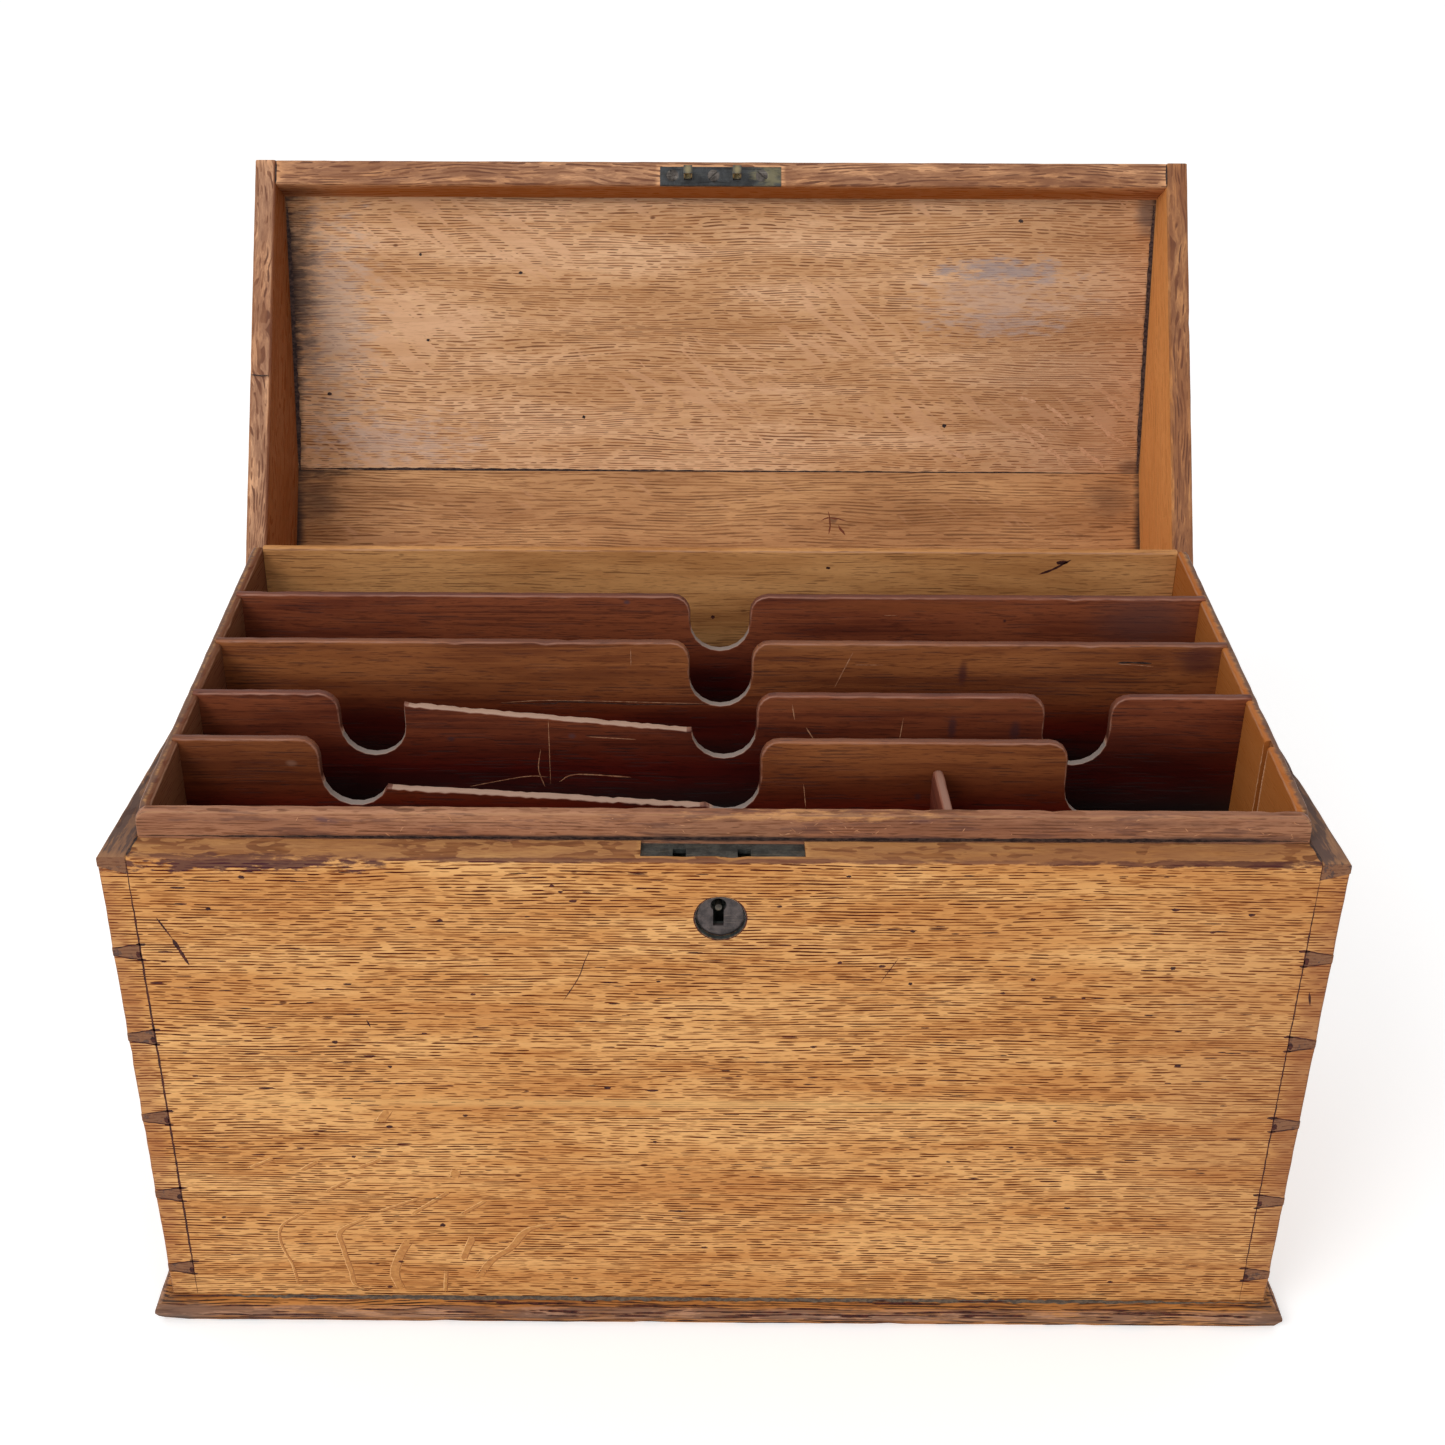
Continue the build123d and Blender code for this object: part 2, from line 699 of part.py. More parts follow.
# ---------------------------------------------------------------- lock
with BuildPart() as lock_case:
    with BuildSketch(cap_plane):
        with Locations((0, (case_top + selvedge_top) / 2)):
            Rectangle(selvedge_width, selvedge_thickness)
    extrude(amount=front_inside - strip_back)
    with BuildSketch(Plane.XZ.offset(-cap_front)):
        with Locations((0, case_middle)):
            Rectangle(case_width, case_top - case_bottom)
    extrude(amount=cap_front - strip_back)
    with BuildSketch(Plane.XZ.offset(-cap_front)):
        with Locations((0, case_middle + case_skin / 2)):
            Rectangle(2 * case_inner_half_width, case_top - case_bottom - case_skin)
    extrude(amount=cap_front - strip_back - case_skin, mode=Mode.SUBTRACT)
    with BuildSketch(Plane.XY.offset(case_top)):
        with Locations(*[(x, staple_y) for x in staple_places]):
            Rectangle(slot_width, slot_depth)
    extrude(amount=selvedge_thickness, mode=Mode.SUBTRACT)
    with BuildSketch(Plane.XZ.offset(-strip_back - case_skin)):
        with Locations(*stump_places):
            Circle(stump_shoulder)
    extrude(amount=strip_back + case_skin - bolt_front + bolt_play)
    with BuildSketch(Plane.XZ.offset(-strip_back - case_skin)):
        with Locations(*stump_places):
            Circle(stump_radius)
    extrude(amount=strip_back + case_skin - bolt_back - bolt_play)
    extrude(to_extrude=keyhole.sketch, amount=half_depth, mode=Mode.SUBTRACT)

with BuildPart() as lock_cap:
    with BuildSketch(cap_plane):
        with Locations((0, case_middle)):
            Rectangle(cap_width, case_top - case_bottom)
    extrude(amount=cap_thickness)
    with BuildSketch(Plane.XZ.offset(-cap_front)):
        with Locations(*stump_places):
            Circle(stump_shoulder)
    extrude(amount=cap_front - bolt_back - bolt_play)
    with BuildSketch(cap_plane):
        with Locations((keyhole_x, key_pin_z)):
            Circle(key_pin_radius)
    extrude(amount=cap_thickness, mode=Mode.SUBTRACT)
    add(lock_holes, mode=Mode.SUBTRACT)

lock_screws = countersunk_screws(cap_plane, lock_screw_places, 1, *lock_screw_size, (20, -65))

with BuildPart() as lock_key_pin:
    with BuildSketch(cap_plane):
        with Locations((keyhole_x, key_pin_z)):
            Circle(key_pin_radius)
    extrude(amount=front_thickness - key_pin_sink)

with BuildPart() as lock_nozzle:
    with BuildSketch(Plane.XZ.offset(-strip_back)):
        with Locations((nozzle_x, nozzle_z)):
            Circle(nozzle_ring_radius)
    extrude(amount=lock_strip - nozzle_ring_sink)
    with BuildSketch(Plane.XZ.offset(-strip_back)):
        with Locations((nozzle_x, nozzle_z + nozzle_disc_lift)):
            Circle(nozzle_disc_radius)
    extrude(amount=lock_strip - nozzle_disc_sink)
    extrude(to_extrude=keyhole.sketch, amount=half_depth, mode=Mode.SUBTRACT)

with BuildPart() as lock_bolt:
    with BuildSketch(Plane.XZ.offset(-bolt_back)):
        with Locations((0, bolt_middle)):
            Rectangle(bolt_length, bolt_height)
        for x in staple_places:
            finger_tip = x + staple_size / 2 + bolt_finger_clear
            post_x = finger_tip + bolt_finger_length + bolt_post_width / 2
            finger_top = eye_middle + bolt_finger_height / 2
            with Locations((post_x, (bolt_top + finger_top) / 2)):
                Rectangle(bolt_post_width, finger_top - bolt_top)
            with Locations((finger_tip + bolt_finger_length / 2, eye_middle)):
                Rectangle(bolt_finger_length, bolt_finger_height)
        for x, z in stump_places:
            with Locations((x + bolt_throw / 2, z)):
                SlotCenterToCenter(bolt_throw, 2 * (stump_radius + bolt_play), mode=Mode.SUBTRACT)
        with Locations((keyhole_x + bolt_throw / 2, bolt_bottom + talon_height / 2)):
            Rectangle(talon_width, talon_height, mode=Mode.SUBTRACT)
    extrude(amount=bolt_thickness)

with BuildPart() as lock_spring:
    spring_wall = case_inner_half_width - spring_thickness / 2
    spring_high = bolt_bottom - bolt_play - spring_thickness / 2
    spring_low = spring_high - spring_fall
    with BuildSketch(Plane.XZ.offset(-bolt_back)):
        with BuildLine():
            FilletPolyline(
                (spring_wall, spring_low - spring_foot),
                (spring_wall, spring_low),
                (spring_wall - spring_reach, spring_high),
                radius=spring_bend,
            )
        trace(line_width=spring_thickness)
    extrude(amount=bolt_thickness)


# ---------------------------------------------------------------- hinges
def hinge_leaf(x, leaf_bottom, own_knuckles):
    """A hinge leaf about x: its plate, its own knuckles and the room for the other leaf's."""
    pitch = hinge_length / knuckle_count
    hinge_end = x - hinge_length / 2
    with BuildPart() as leaf:
        with BuildSketch(Plane.XY.offset(leaf_bottom)):
            with Locations((x, hinge_y - leaf_width / 2)):
                Rectangle(hinge_length, leaf_width)
        extrude(amount=leaf_thickness)
        for number in range(knuckle_count):
            if number in own_knuckles:
                with BuildSketch(Plane.YZ.offset(hinge_end + number * pitch + knuckle_gap / 2)):
                    with Locations((hinge_y, hinge_z)):
                        Circle(barrel_radius)
                extrude(amount=pitch - knuckle_gap)
            else:
                with BuildSketch(Plane.YZ.offset(hinge_end + number * pitch - knuckle_gap / 2)):
                    with Locations((hinge_y, hinge_z)):
                        Circle(barrel_radius + barrel_clearance)
                extrude(amount=pitch + knuckle_gap, mode=Mode.SUBTRACT)
        with BuildSketch(Plane.YZ.offset(hinge_end)):
            with Locations((hinge_y, hinge_z)):
                Circle(hinge_pin_radius + hinge_pin_play)
        extrude(amount=hinge_length, mode=Mode.SUBTRACT)
        add(box_hinge_holes, mode=Mode.SUBTRACT)
        add(lid_hinge_holes, mode=Mode.SUBTRACT)
    return leaf


def hinge_pin(x):
    """A hinge's pin, along its whole barrel."""
    with BuildPart() as pin:
        with BuildSketch(Plane.YZ.offset(x)):
            with Locations((hinge_y, hinge_z)):
                Circle(hinge_pin_radius)
        extrude(amount=hinge_length / 2, both=True)
    return pin


box_knuckles = range(0, knuckle_count, 2)
lid_knuckles = range(1, knuckle_count, 2)
hinge_left_box_leaf = hinge_leaf(-hinge_spread, wall_top - leaf_thickness, box_knuckles)
hinge_right_box_leaf = hinge_leaf(hinge_spread, wall_top - leaf_thickness, box_knuckles)
hinge_left_lid_leaf = hinge_leaf(-hinge_spread, rim_height, lid_knuckles)
hinge_right_lid_leaf = hinge_leaf(hinge_spread, rim_height, lid_knuckles)
hinge_left_pin = hinge_pin(-hinge_spread)
hinge_right_pin = hinge_pin(hinge_spread)
hinge_turns = (15, -50, 80, 35, 120, -20)
hinge_screws_box = countersunk_screws(box_leaf_plane, hinge_screw_places, -1, *hinge_screw_size, hinge_turns)
hinge_screws_lid = countersunk_screws(rim_plane, hinge_screw_places, 1, *hinge_screw_size, hinge_turns)

# ---------------------------------------------------------------- written out
box_pieces = {
    "front_wall": front_wall.part,
    "back_wall": back_wall.part,
    "left_wall": left_wall.part,
    "right_wall": right_wall.part,
    "base_board": base_board.part,
    "base_screws": base_screws,
    "front_liner": front_liner.part,
    "back_liner": back_liner.part,
    "left_liner": left_liner.part,
    "right_liner": right_liner.part,
    "letter_divider_1": letter_divider_1.part,
    "letter_divider_2": letter_divider_2.part,
    "letter_divider_3": letter_divider_3.part,
    "letter_divider_4": letter_divider_4.part,
    "cross_partition": cross_partition.part,
    "lock_case": lock_case.part,
    "lock_cap": lock_cap.part,
    "lock_bolt": lock_bolt.part,
    "lock_spring": lock_spring.part,
    "lock_key_pin": lock_key_pin.part,
    "lock_nozzle": lock_nozzle.part,
    "lock_screws": lock_screws,
    "hinge_left_box_leaf": hinge_left_box_leaf.part,
    "hinge_right_box_leaf": hinge_right_box_leaf.part,
    "hinge_left_pin": hinge_left_pin.part,
    "hinge_right_pin": hinge_right_pin.part,
    "hinge_screws_box": hinge_screws_box,
}
lid_pieces = {
    "lid_front_rail": lid_front_rail.part,
    "lid_back_rail": lid_back_rail.part,
    "lid_left_rail": lid_left_rail.part,
    "lid_right_rail": lid_right_rail.part,
    "lid_slope_board": lid_slope_board.part,
    "lid_flat_board": lid_flat_board.part,
    "link_plate": link_plate.part,
    "link_plate_screws": link_plate_screws,
    "hinge_left_lid_leaf": hinge_left_lid_leaf.part,
    "hinge_right_lid_leaf": hinge_right_lid_leaf.part,
    "hinge_screws_lid": hinge_screws_lid,
}
for name, piece in box_pieces.items():
    piece.label = name
    export_step(piece, f"parts/{name}.step")
for name, piece in lid_pieces.items():
    opened = piece.rotate(hinge_axis, -lid_opening)
    opened.label = name
    export_step(opened, f"parts/{name}.step")
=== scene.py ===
"""Stationery box with a sloping lid, standing open: oak carcass and lid, mahogany letter dividers.

Sizes are in millimetres and are turned into metres where a mesh is made. The lid's pieces are
built as they lie when the box is shut, then turned open about the hinge line.
"""

from __future__ import annotations

import logging
import math
from collections.abc import Sequence
from dataclasses import dataclass, field, replace
from enum import Enum

import bmesh
import bpy
import numpy as np
from mathutils import Matrix, Vector


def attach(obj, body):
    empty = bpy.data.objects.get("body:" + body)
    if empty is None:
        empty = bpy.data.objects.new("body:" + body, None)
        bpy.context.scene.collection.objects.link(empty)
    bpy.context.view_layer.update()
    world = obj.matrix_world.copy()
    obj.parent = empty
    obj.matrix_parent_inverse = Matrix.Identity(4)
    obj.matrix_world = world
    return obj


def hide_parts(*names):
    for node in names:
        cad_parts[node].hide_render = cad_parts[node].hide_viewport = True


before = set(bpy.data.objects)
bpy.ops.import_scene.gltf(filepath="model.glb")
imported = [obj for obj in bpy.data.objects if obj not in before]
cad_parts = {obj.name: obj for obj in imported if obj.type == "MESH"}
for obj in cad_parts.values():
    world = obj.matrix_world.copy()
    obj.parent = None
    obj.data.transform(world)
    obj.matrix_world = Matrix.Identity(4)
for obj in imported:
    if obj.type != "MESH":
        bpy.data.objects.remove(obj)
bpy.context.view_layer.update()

Point2 = tuple[float, float]
Point3 = tuple[float, float, float]
Colour = tuple[float, float, float]
Socket = bpy.types.NodeSocket
Material = bpy.types.Material
Mesh = bpy.types.Mesh
Piece = bpy.types.Object

log = logging.getLogger("stationery_box")

MM = 0.001
HINGE_Y = 90.0
HINGE_Z = 189.15
HINGE_X = 125.0
HINGE_LENGTH = 50.0
LEAF_Y = 84.4
KNUCKLE_RADIUS = 2.4
BLOCK_FACES = ((0, 1, 3, 2), (4, 6, 7, 5), (0, 4, 5, 1), (2, 3, 7, 6), (0, 2, 6, 4), (1, 5, 7, 3))
LID_OPENING = 119.5


# ------------------------------ shader helpers
def srgb(colour: Colour) -> tuple[float, float, float, float]:
    """A screen colour from 0 to 255 as the linear colour, with an alpha of 1, that a shader takes."""
    parts = [c / 255 for c in colour]
    return (*(p / 12.92 if p <= 0.04045 else ((p + 0.055) / 1.055) ** 2.4 for p in parts), 1.0)


class Shader:
    """Adds and joins the nodes of one material or of the sky."""

    def __init__(self, name: str, world: bpy.types.World | None = None) -> None:
        """Starts without nodes.

        Args:
            name: the material's name.
            world: the world whose sky it is, where it isn't a material.
        """
        self.owner = world or bpy.data.materials.new(name)
        self.owner.use_nodes = True
        self.tree = self.owner.node_tree
        self.tree.nodes.clear()

    def node(
        self, kind: str, inputs: dict[str | int, object] | None = None, **settings: object
    ) -> bpy.types.Node:
        """Adds a node.

        Args:
            kind: the node's type, without its ShaderNode prefix.
            inputs: a value or another node's output for each named or numbered input.
            **settings: the node's own properties.

        Returns:
            The new node.
        """
        made = self.tree.nodes.new("ShaderNode" + kind)
        for key, value in settings.items():
            setattr(made, key, value)
        for key, value in (inputs or {}).items():
            if isinstance(value, Socket):
                self.tree.links.new(value, made.inputs[key])
            else:
                made.inputs[key].default_value = value
        return made

    def sum(self, operation: str, *values: object, clamp: bool = False) -> Socket:
        """One step of arithmetic on the values in order, kept from 0 to 1 where clamp says."""
        made = self.node("Math", dict(enumerate(values)), operation=operation, use_clamp=clamp)
        return made.outputs[0]

    def step(
        self, value: object, low: float, high: float, start: float = 0.0, end: float = 1.0
    ) -> Socket:
        """A smooth step from start to end as value goes from low to high."""
        inputs = {"Value": value, "From Min": low, "From Max": high, "To Min": start, "To Max": end}
        return self.node("MapRange", inputs, interpolation_type="SMOOTHSTEP").outputs[0]

    def mix(self, amount: object, first: object, second: object, how: str = "MIX") -> Socket:
        """Two colours mixed.

        Args:
            amount: how much of the second, from 0 to 1.
            first: a screen colour, a linear colour with its alpha, or an output.
            second: the same.
            how: the way that the second is laid on the first.

        Returns:
            The mixed colour's output.
        """
        ends = [srgb(c) if isinstance(c, tuple) and len(c) == 3 else c for c in (first, second)]
        inputs = {0: amount, 6: ends[0], 7: ends[1]}
        return self.node("Mix", inputs, data_type="RGBA", blend_type=how).outputs[2]

    def times(self, first: object, second: object) -> Socket:
        """Two values multiplied."""
        return self.sum("MULTIPLY", first, second)

    def along(self, vector: Socket, way: Vector) -> Socket:
        """How far a vector reaches along a direction."""
        return self.node("VectorMath", {0: vector, 1: way}, operation="DOT_PRODUCT").outputs["Value"]

    def part(self, vector: Socket, axis: str) -> Socket:
        """A vector's part along X, Y or Z."""
        return self.node("SeparateXYZ", {0: vector}).outputs[axis]

    def bump(self, height: Socket, strength: float, depth: float = 0.0003) -> Socket:
        """A normal bent by a height, as if its full range were depth metres."""
        inputs = {"Height": height, "Strength": strength, "Distance": depth}
        return self.node("Bump", inputs).outputs[0]

    def millimetres(self) -> Socket:
        """The place on the piece, in millimetres."""
        return self.stretch(self.node("TexCoord").outputs["Object"], (1000, 1000, 1000))

    def stretch(self, vector: Socket, scale: Point3, shift: Point3 = (0.0, 0.0, 0.0)) -> Socket:
        """A vector scaled along each axis, then shifted."""
        return self.node("Mapping", {"Vector": vector, "Scale": scale, "Location": shift}).outputs[0]

    def noise(
        self,
        vector: Socket,
        scale: Point3,
        detail: float,
        rough: float = 0.5,
        shift: float = 0.0,
        twist: float = 0.0,
    ) -> Socket:
        """Soft noise over a vector, which is scaled along each axis and then shifted."""
        kind = {"Scale": 1.0, "Detail": detail, "Roughness": rough, "Distortion": twist}
        return self.node("TexNoise", {"Vector": self.stretch(vector, scale, (shift,) * 3), **kind}).outputs[0]

    def wear(self) -> Socket:
        """How worn the surface is, from the mesh: 1 along rounded edges, 0 on flat faces."""
        return self.node("Attribute", attribute_name="wear").outputs["Fac"]

    def finish(self, **inputs: object) -> Material:
        """Ends the material with one surface shader.

        Args:
            **inputs: the shader's inputs, with underscores for spaces.

        Returns:
            The finished material.
        """
        named = {key.replace("_", " "): value for key, value in inputs.items()}
        surface = self.node("BsdfPrincipled", named)
        self.node("OutputMaterial", {"Surface": surface.outputs[0]})
        return self.owner


# ------------------------------ finishes
class Grain(Enum):
    """Which way a board's grain runs."""

    ACROSS = "left to right"
    DEEP = "front to back"


class Side(Enum):
    """The two sides of the box, as the sign of x."""

    LEFT = -1
    RIGHT = 1

    @property
    def word(self) -> str:
        """The side as the pieces' names have it."""
        return self.name.lower()


@dataclass(frozen=True)
class Mark:
    """A stain, scratch, pale place, painted shade or painted reflection on a board: a soft ellipsoid of one
    colour.
    """

    middle: Point3
    reach: Point3
    colour: Colour
    strength: float = 0.5
    soft: float = 0.6
    broken: float = 0.0
    turn: float = 0.0


def lay_marks(shader: Shader, place: Socket, colour: Socket, marks: Sequence[Mark]) -> Socket:
    """Lays each mark over a colour.

    Args:
        shader: the material that is being made.
        place: the place on the shut box, in millimetres.
        colour: the colour below the marks.
        marks: the marks, in order.

    Returns:
        The colour with its marks.
    """
    ragged = shader.noise(place, (0.12, 0.45, 0.45), 5.0, 0.65)
    for mark in marks:
        turn = (0, math.radians(mark.turn), 0)
        inputs = {"Vector": place, "Location": mark.middle, "Rotation": turn, "Scale": mark.reach}
        inside = shader.node("Mapping", inputs, vector_type="TEXTURE").outputs[0]
        reach = shader.node("VectorMath", {0: inside}, operation="LENGTH").outputs["Value"]
        if mark.broken:
            reach = shader.sum("MULTIPLY_ADD", ragged, 4 * mark.broken, reach)
            reach = shader.sum("SUBTRACT", reach, 2 * mark.broken)
        amount = shader.step(reach, 1 - mark.soft, 1.0, mark.strength, 0.0)
        colour = shader.mix(amount, colour, mark.colour)
    return colour


# The colour of the deep shade between the dividers, as linear light.
SHADE = (0.012, 0.008, 0.008, 1.0)


@dataclass(frozen=True)
class Wood:
    """A wood finish: its ground colours, rings of pores, rays, and the wear on its edges and ends.

    Lengths are in millimetres. The pores lie along the rings, which are spacing apart across the
    board, and are broken up into dashes. The rays cross them at a slant.
    """

    name: str
    pale: Colour
    middle: Colour
    deep: Colour
    pore: Colour
    dark_pore: Colour
    end: Colour
    edge: Colour
    spacing: float = 1.5
    dash: float = 9.0
    level: float = 0.47
    pore_strength: float = 0.75
    hair: float = 0.35
    sway: float = 2.2
    streak: float = 0.35
    cloud: float = 0.5
    pits: float = 0.8
    ray: float = 0.5
    ray_turn: float = 60.0
    ray_colour: Colour = (206, 146, 88)
    edge_strength: float = 0.6
    roughness: float = 0.5
    sheen: float = 0.2
    bump: float = 0.3
    grime: float = 0.0
    grime_colour: Colour = (92, 62, 62)
    grime_sides: float = 1.0
    rim: Colour = (128, 124, 121)
    torn: Colour = (182, 150, 130)
    top: Colour = (120, 88, 66)
    top_strength: float = 0.0
    # The next four paint shade down into the narrow rooms: from the first height down to the second the
    # colour turns darker and redder, as the wood's deeper colour and painted shade.
    depth_shade: Colour = (150, 66, 56)
    depth_shade_strength: float = 0.0
    depth_shade_from: float = 200.0
    depth_shade_to: float = 120.0

    def frame_of(self, shader: Shader, leaning: bool) -> tuple[Socket, Socket]:
        """The place on the shut box in millimetres, and the way that the surface looks there.

        Args:
            shader: the material that is being made.
            leaning: whether the board belongs to the lid, which stands turned open.

        Returns:
            The place and the normal.
        """
        coordinates = shader.node("TexCoord")
        angles, shift = (0.0, 0.0, 0.0), Vector((0.0, 0.0, 0.0))
        if leaning:
            turn = Matrix.Rotation(math.radians(LID_OPENING), 3, "X")
            hinge = Vector((0, HINGE_Y, HINGE_Z))
            shift = hinge - turn @ hinge
            angles = (math.radians(LID_OPENING), 0.0, 0.0)
        inputs = {
            "Vector": coordinates.outputs["Object"],
            "Location": shift,
            "Rotation": angles,
            "Scale": (1000, 1000, 1000),
        }
        place = shader.node("Mapping", inputs).outputs[0]
        turned = {"Vector": coordinates.outputs["Normal"], "Rotation": angles}
        return place, shader.node("Mapping", turned).outputs[0]

    def rays(self, shader: Shader, path: Socket) -> Socket:
        """Thin slanting rays that cross the rings, in some places and not in others.

        Args:
            shader: the material that is being made.
            path: the place in the board's figure.

        Returns:
            How much of a ray each place is.
        """
        angles = (0, 0, math.radians(self.ray_turn))
        slant = shader.node("Mapping", {"Vector": path, "Rotation": angles}).outputs[0]
        slants = shader.noise(slant, (0.05, 0.26, 0.12), 1.5, twist=0.5)
        where = shader.noise(path, (0.011, 0.02, 0.02), 1.0, shift=3)
        near = shader.sum("ADD", where, shader.sum("SUBTRACT", slants, 0.5))
        return shader.step(near, 0.58, 0.72, 0.0, self.ray)

    def path_of(self, shader: Shader, place: Socket, axes: Sequence[Vector], shift: float) -> Socket:
        """The place in the board's own figure, whose rings sway.

        Args:
            shader: the material that is being made.
            place: the place on the shut box, in millimetres.
            axes: the ways along the grain, across the rings and through them.
            shift: how far the figure is moved along.

        Returns:
            The place along, across and through the figure.
        """
        parts = {n: shader.along(place, axis) for n, axis in enumerate(axes)}
        straight = shader.node("CombineXYZ", parts).outputs[0]
        straight = shader.stretch(straight, (1, 1, 1), (137.0 * shift, 41.0 * shift, 0))
        slow = shader.noise(straight, (0.012, 0.06, 0.05), 1.0)
        quick = shader.noise(straight, (0.055, 0.2, 0.2), 1.0)
        drift = shader.sum("MULTIPLY_ADD", quick, 0.45 * self.sway, shader.times(slow, 3.0 * self.sway))
        sway = shader.node("CombineXYZ", {1: drift}).outputs[0]
        return shader.node("VectorMath", {0: straight, 1: sway}, operation="ADD").outputs[0]

    def ground(self, shader: Shader, path: Socket, streak: Socket) -> Socket:
        """The ground colour, in clouds and in streaks along the grain.

        Args:
            shader: the material that is being made.
            path: the place in the board's figure.
            streak: the noise of the streaks.

        Returns:
            The colour.
        """
        cloud = shader.noise(path, (0.011, 0.06, 0.06), 3.0, 0.6)
        colour = shader.mix(shader.step(cloud, 0.35, 0.6), self.pale, self.middle)
        colour = shader.mix(shader.step(cloud, 0.5, 0.75, 0.0, self.cloud), colour, self.deep)
        colour = shader.mix(shader.step(streak, 0.5, 0.72, 0.0, self.streak), colour, self.deep)
        return shader.mix(shader.step(streak, 0.48, 0.3, 0.0, self.streak), colour, self.pale)

    def figure(self, shader: Shader, path: Socket, colour: Socket) -> tuple[Socket, Socket, Socket]:
        """Lays the pores, the rays and the pits over the ground colour.

        Args:
            shader: the material that is being made.
            path: the place in the board's figure.
            colour: the ground colour.

        Returns:
            The colour, then how deep in a pore and in a pit each place is.
        """
        turns = shader.times(shader.part(path, "Y"), 2 * math.pi / self.spacing)
        dashes = shader.noise(path, (0.5 / self.dash, 0.62 / self.spacing, 0.4), 1.0, 0.4)
        crowd = shader.noise(path, (0.016, 0.07, 0.06), 2.0, shift=5)
        dashes = shader.sum("MULTIPLY_ADD", crowd, 0.35, shader.sum("SUBTRACT", dashes, 0.175))
        dash = shader.step(dashes, self.level, self.level + 0.05)
        width = shader.step(dashes, self.level, self.level + 0.2, 0.45, -0.05)
        band = shader.step(shader.sum("SUBTRACT", shader.sum("SINE", turns), width), 0.0, 0.35)
        ray = self.rays(shader, path)
        pore = shader.times(shader.times(band, dash), shader.step(ray, 0.1, 0.5, 1.0, 0.0))
        tone = shader.noise(path, (0.06, 0.9 / self.spacing, 0.5), 1.0, shift=9)
        ink = shader.mix(shader.step(tone, 0.46, 0.62), self.pore, self.dark_pore)
        hair = shader.noise(path, (0.16, 2.1, 2.1), 2.0, 0.6)
        colour = shader.mix(shader.step(hair, 0.52, 0.68, 0.0, self.hair), colour, self.pore)
        colour = shader.mix(shader.times(ray, 0.6), colour, self.ray_colour)
        amount = shader.times(pore, shader.step(tone, 0.36, 0.56, 0.5, 1.0))
        colour = shader.mix(shader.times(amount, self.pore_strength), colour, ink)
        inputs = {"Vector": shader.stretch(path, (0.045, 0.085, 0.085)), "Scale": 1.0}
        cells = shader.node("TexVoronoi", inputs).outputs
        rare = shader.step(shader.part(cells["Color"], "X"), 0.66, 0.7)
        pit = shader.times(shader.step(cells["Distance"], 0.035, 0.07, self.pits, 0.0), rare)
        return shader.mix(pit, colour, self.dark_pore), pore, pit

    def paint_depth_shade(self, shader: Shader, place: Socket, colour: Socket) -> Socket:
        """Paints shade down into the narrow rooms of the box: darker and redder lower down, then the deep
        shade near the bottom.

        Args:
            shader: the material that is being made.
            place: the place on the shut box, in millimetres.
            colour: the colour below.

        Returns:
            The darkened colour.
        """
        height = shader.part(place, "Z")
        depth = shader.step(height, self.depth_shade_to, self.depth_shade_from, self.depth_shade_strength, 0.0)
        colour = shader.mix(depth, colour, self.depth_shade, "MULTIPLY")
        deepest = shader.step(height, self.depth_shade_to - 16, self.depth_shade_to + 3, 0.94, 0.0)
        return shader.mix(deepest, colour, SHADE)

    def wear_down(
        self, shader: Shader, path: Socket, colour: Socket, scuff: Socket, faces: Sequence[Socket]
    ) -> Socket:
        """Lays the rubbed edges, the torn and bare rims and the grime over a colour.

        Args:
            shader: the material that is being made.
            path: the place in the board's figure.
            colour: the colour below.
            scuff: the noise that breaks up the rubbing.
            faces: how far the surface looks up, and how far along the grain.

        Returns:
            The worn colour.
        """
        worn = shader.wear()
        rub = shader.times(shader.step(worn, 0.1, 0.9), shader.step(scuff, 0.35, 0.6, 0.2, 1.0))
        colour = shader.mix(shader.times(rub, self.edge_strength), colour, self.edge)
        colour = shader.mix(shader.step(worn, 1.02, 1.18, 0.0, 0.8), colour, self.torn)
        colour = shader.mix(shader.step(worn, 1.3, 1.9, 0.0, 0.75), colour, self.rim)
        patch = shader.noise(path, (0.05, 0.38, 0.38), 4.0, 0.7, shift=7)
        patch = shader.sum("MULTIPLY_ADD", shader.step(worn, 0.3, 0.9), 0.09, patch)
        rims = shader.sum("MAXIMUM", *(shader.sum("ABSOLUTE", face) for face in faces))
        share = shader.step(rims, 0.5, 0.9, self.grime_sides, 1.0)
        dirty = shader.times(shader.step(patch, 0.54, 0.62, 0.0, self.grime), share)
        return shader.mix(dirty, colour, self.grime_colour)

    def material(
        self,
        name: str,
        grain: Grain,
        leaning: bool,
        marks: Sequence[Mark],
        shift: float,
        across: Point3,
    ) -> Material:
        """Makes the finish for one board.

        Args:
            name: the board that it is for.
            grain: the way that the grain runs.
            leaning: whether the board belongs to the lid.
            marks: stains and scratches at their own places.
            shift: how far the figure is moved along, so that two boards differ.
            across: the way that the rings follow one another, on the shut box.

        Returns:
            The material.
        """
        shader = Shader(f"{self.name}_{name}")
        place, normal = self.frame_of(shader, leaning)
        lengthways = Vector((1, 0, 0)) if grain is Grain.ACROSS else Vector((0, 1, 0))
        rings = Vector(across).normalized()
        path = self.path_of(shader, place, (lengthways, rings, lengthways.cross(rings)), shift)
        streak = shader.noise(path, (0.006, 0.45, 0.45), 4.0, 0.7)
        colour, pore, pit = self.figure(shader, path, self.ground(shader, path, streak))

